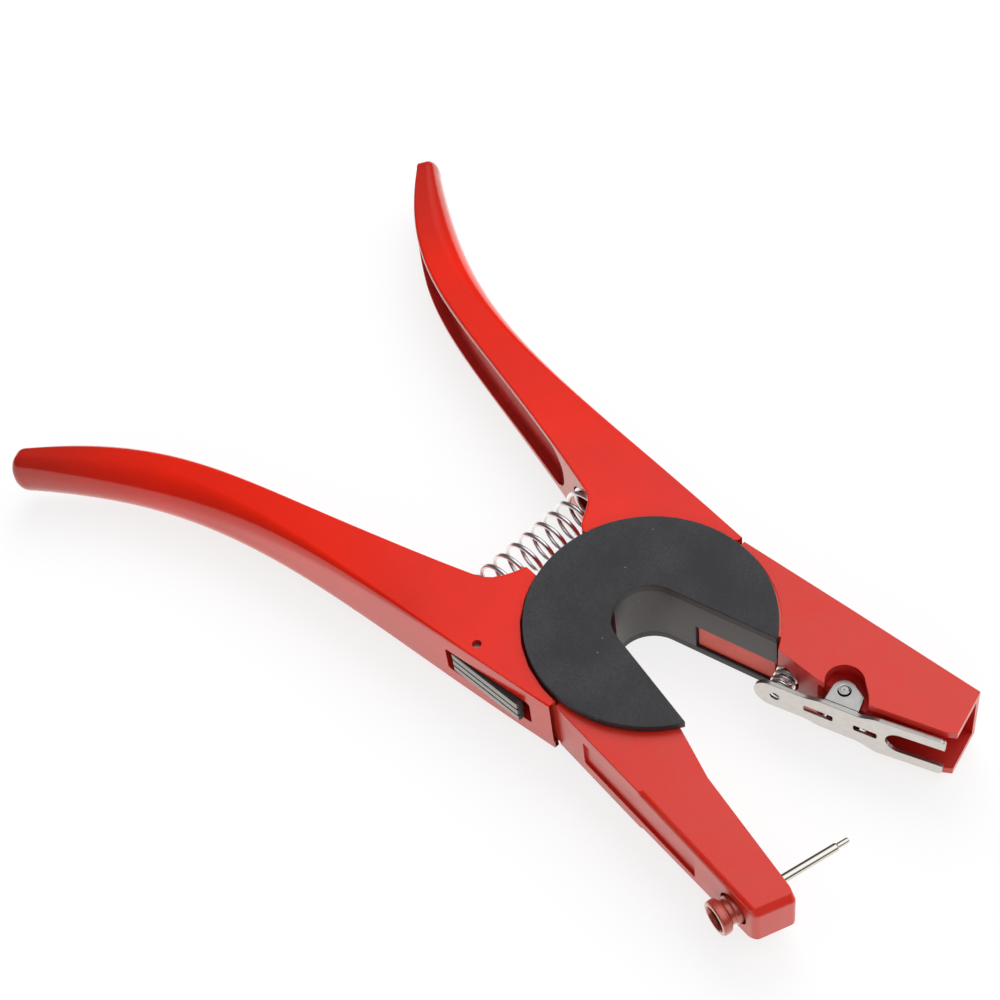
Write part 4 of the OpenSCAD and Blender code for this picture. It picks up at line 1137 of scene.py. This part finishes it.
class PLIERS_OT_plate_screws(bpy.types.Operator):
    """Turns the countersunk screws of the rear plate"""

    bl_idname = "pliers.plate_screws"
    bl_label = "Plate Screws"

    def execute(self, context):
        bm = bmesh.new()
        profile = [(0, 0.25), (2.9, 0.2), (3.15, 0.3), (3.15, 0.42), (1.6, 1.8), (1.6, 8.4), (1.3, 8.8), (0, 8.8)]
        for x, y in SCREWS:
            screw = cut(turned(profile, 48), rod(1.12, -1, 1.6, 6))
            mesh = bpy.data.meshes.new("screw")
            moved(screw, shift(x, y)).to_mesh(mesh)
            screw.free()
            bm.from_mesh(mesh)
            bpy.data.meshes.remove(mesh)
        piece("socket_screws", bm, ZINC, "clip_lever", ["plate_screws"], weighted=True)
        return {"FINISHED"}


class PLIERS_OT_springs(bpy.types.Operator):
    """Winds the return, clip and lock springs"""

    bl_idname = "pliers.springs"
    bl_label = "Springs"

    def execute(self, context):
        sizes = context.scene.pliers_sizes
        bm = coil(12.8, in_mm(sizes.spring_wire), sizes.spring_curls, SPRING_L)
        moved(bm, shift(*SPRING_AT) @ shift(0, -SPRING_L / 2) @ LIE)
        ends = [(SPRING_AT + Vector((0, y, 0))) * MM for y in (-SPRING_HALF, SPRING_HALF)]
        piece("return_coil", bm, WIRE, nodes=["return_spring"], bend=("clip_lever", "pin_lever", *ends))
        foot, top = -4.4, 8.4
        bm = moved(coil(7, 1.1, 7, 12.8), CLIP_FRAME @ shift(CLIP_SPRING_X, foot) @ LIE)
        ends = [(CLIP_FRAME @ Vector((CLIP_SPRING_X, y, 0))) * MM for y in (top, foot)]
        piece("clip_coil", bm, WIRE, nodes=["clip_spring"], bend=("clip_lever", "tag_clip", *ends))
        foot, top = 1.6, 7.7
        bm = moved(coil(3.6, 0.6, 4, 6.1), LOCK_FRAME @ LOCK_SPRING @ shift(0, 0, foot))
        ends = [(LOCK_FRAME @ LOCK_SPRING @ Vector((0, 0, z))) * MM for z in (top, foot)]
        piece("lock_coil", bm, WIRE, nodes=["lock_spring"], bend=("clip_lever", "lock_lever", *ends))
        return {"FINISHED"}


class PLIERS_OT_dress(bpy.types.Operator):
    """Gives the pieces that stay as they are in the frame their finishes"""

    bl_idname = "pliers.dress"
    bl_label = "Frame Pieces"

    def execute(self, context):
        for name in ("pivot_pin", "lap_washer", "cap_washer", "pivot_ring", "lock_pin", "pivot_bush"):
            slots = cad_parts[name].data.materials
            slots.clear()
            slots.append(bpy.data.materials[BRASS if name == "pivot_bush" else ZINC])
        return {"FINISHED"}


STEPS = (
    PLIERS_OT_finishes, PLIERS_OT_stage, PLIERS_OT_handles, PLIERS_OT_jaws, PLIERS_OT_head, PLIERS_OT_lock,
    PLIERS_OT_clip, PLIERS_OT_springs, PLIERS_OT_applicator, PLIERS_OT_plate_screws, PLIERS_OT_dress,
)


class PLIERS_PT_panel(bpy.types.Panel):
    """Lists the sizes, colours and steps"""

    bl_idname = "PLIERS_PT_panel"
    bl_label = "Ear Tag Pliers"
    bl_space_type = "VIEW_3D"
    bl_region_type = "UI"
    bl_category = "Pliers"

    def draw(self, context):
        for group in (context.scene.pliers_sizes, context.scene.pliers_colours):
            for name in group.__annotations__:
                self.layout.prop(group, name)
        for step in STEPS:
            self.layout.operator(step.bl_idname)


CLASSES = (PliersSizes, PliersColours, *STEPS, PLIERS_PT_panel)


def register():
    for cls in CLASSES:
        bpy.utils.register_class(cls)
    bpy.types.Scene.pliers_sizes = PointerProperty(type=PliersSizes)
    bpy.types.Scene.pliers_colours = PointerProperty(type=PliersColours)


def unregister():
    del bpy.types.Scene.pliers_sizes
    del bpy.types.Scene.pliers_colours
    for cls in reversed(CLASSES):
        bpy.utils.unregister_class(cls)


def main():
    register()
    for step in STEPS:
        group, name = step.bl_idname.split(".")
        getattr(getattr(bpy.ops, group), name)()


if __name__ == "__main__":
    main()
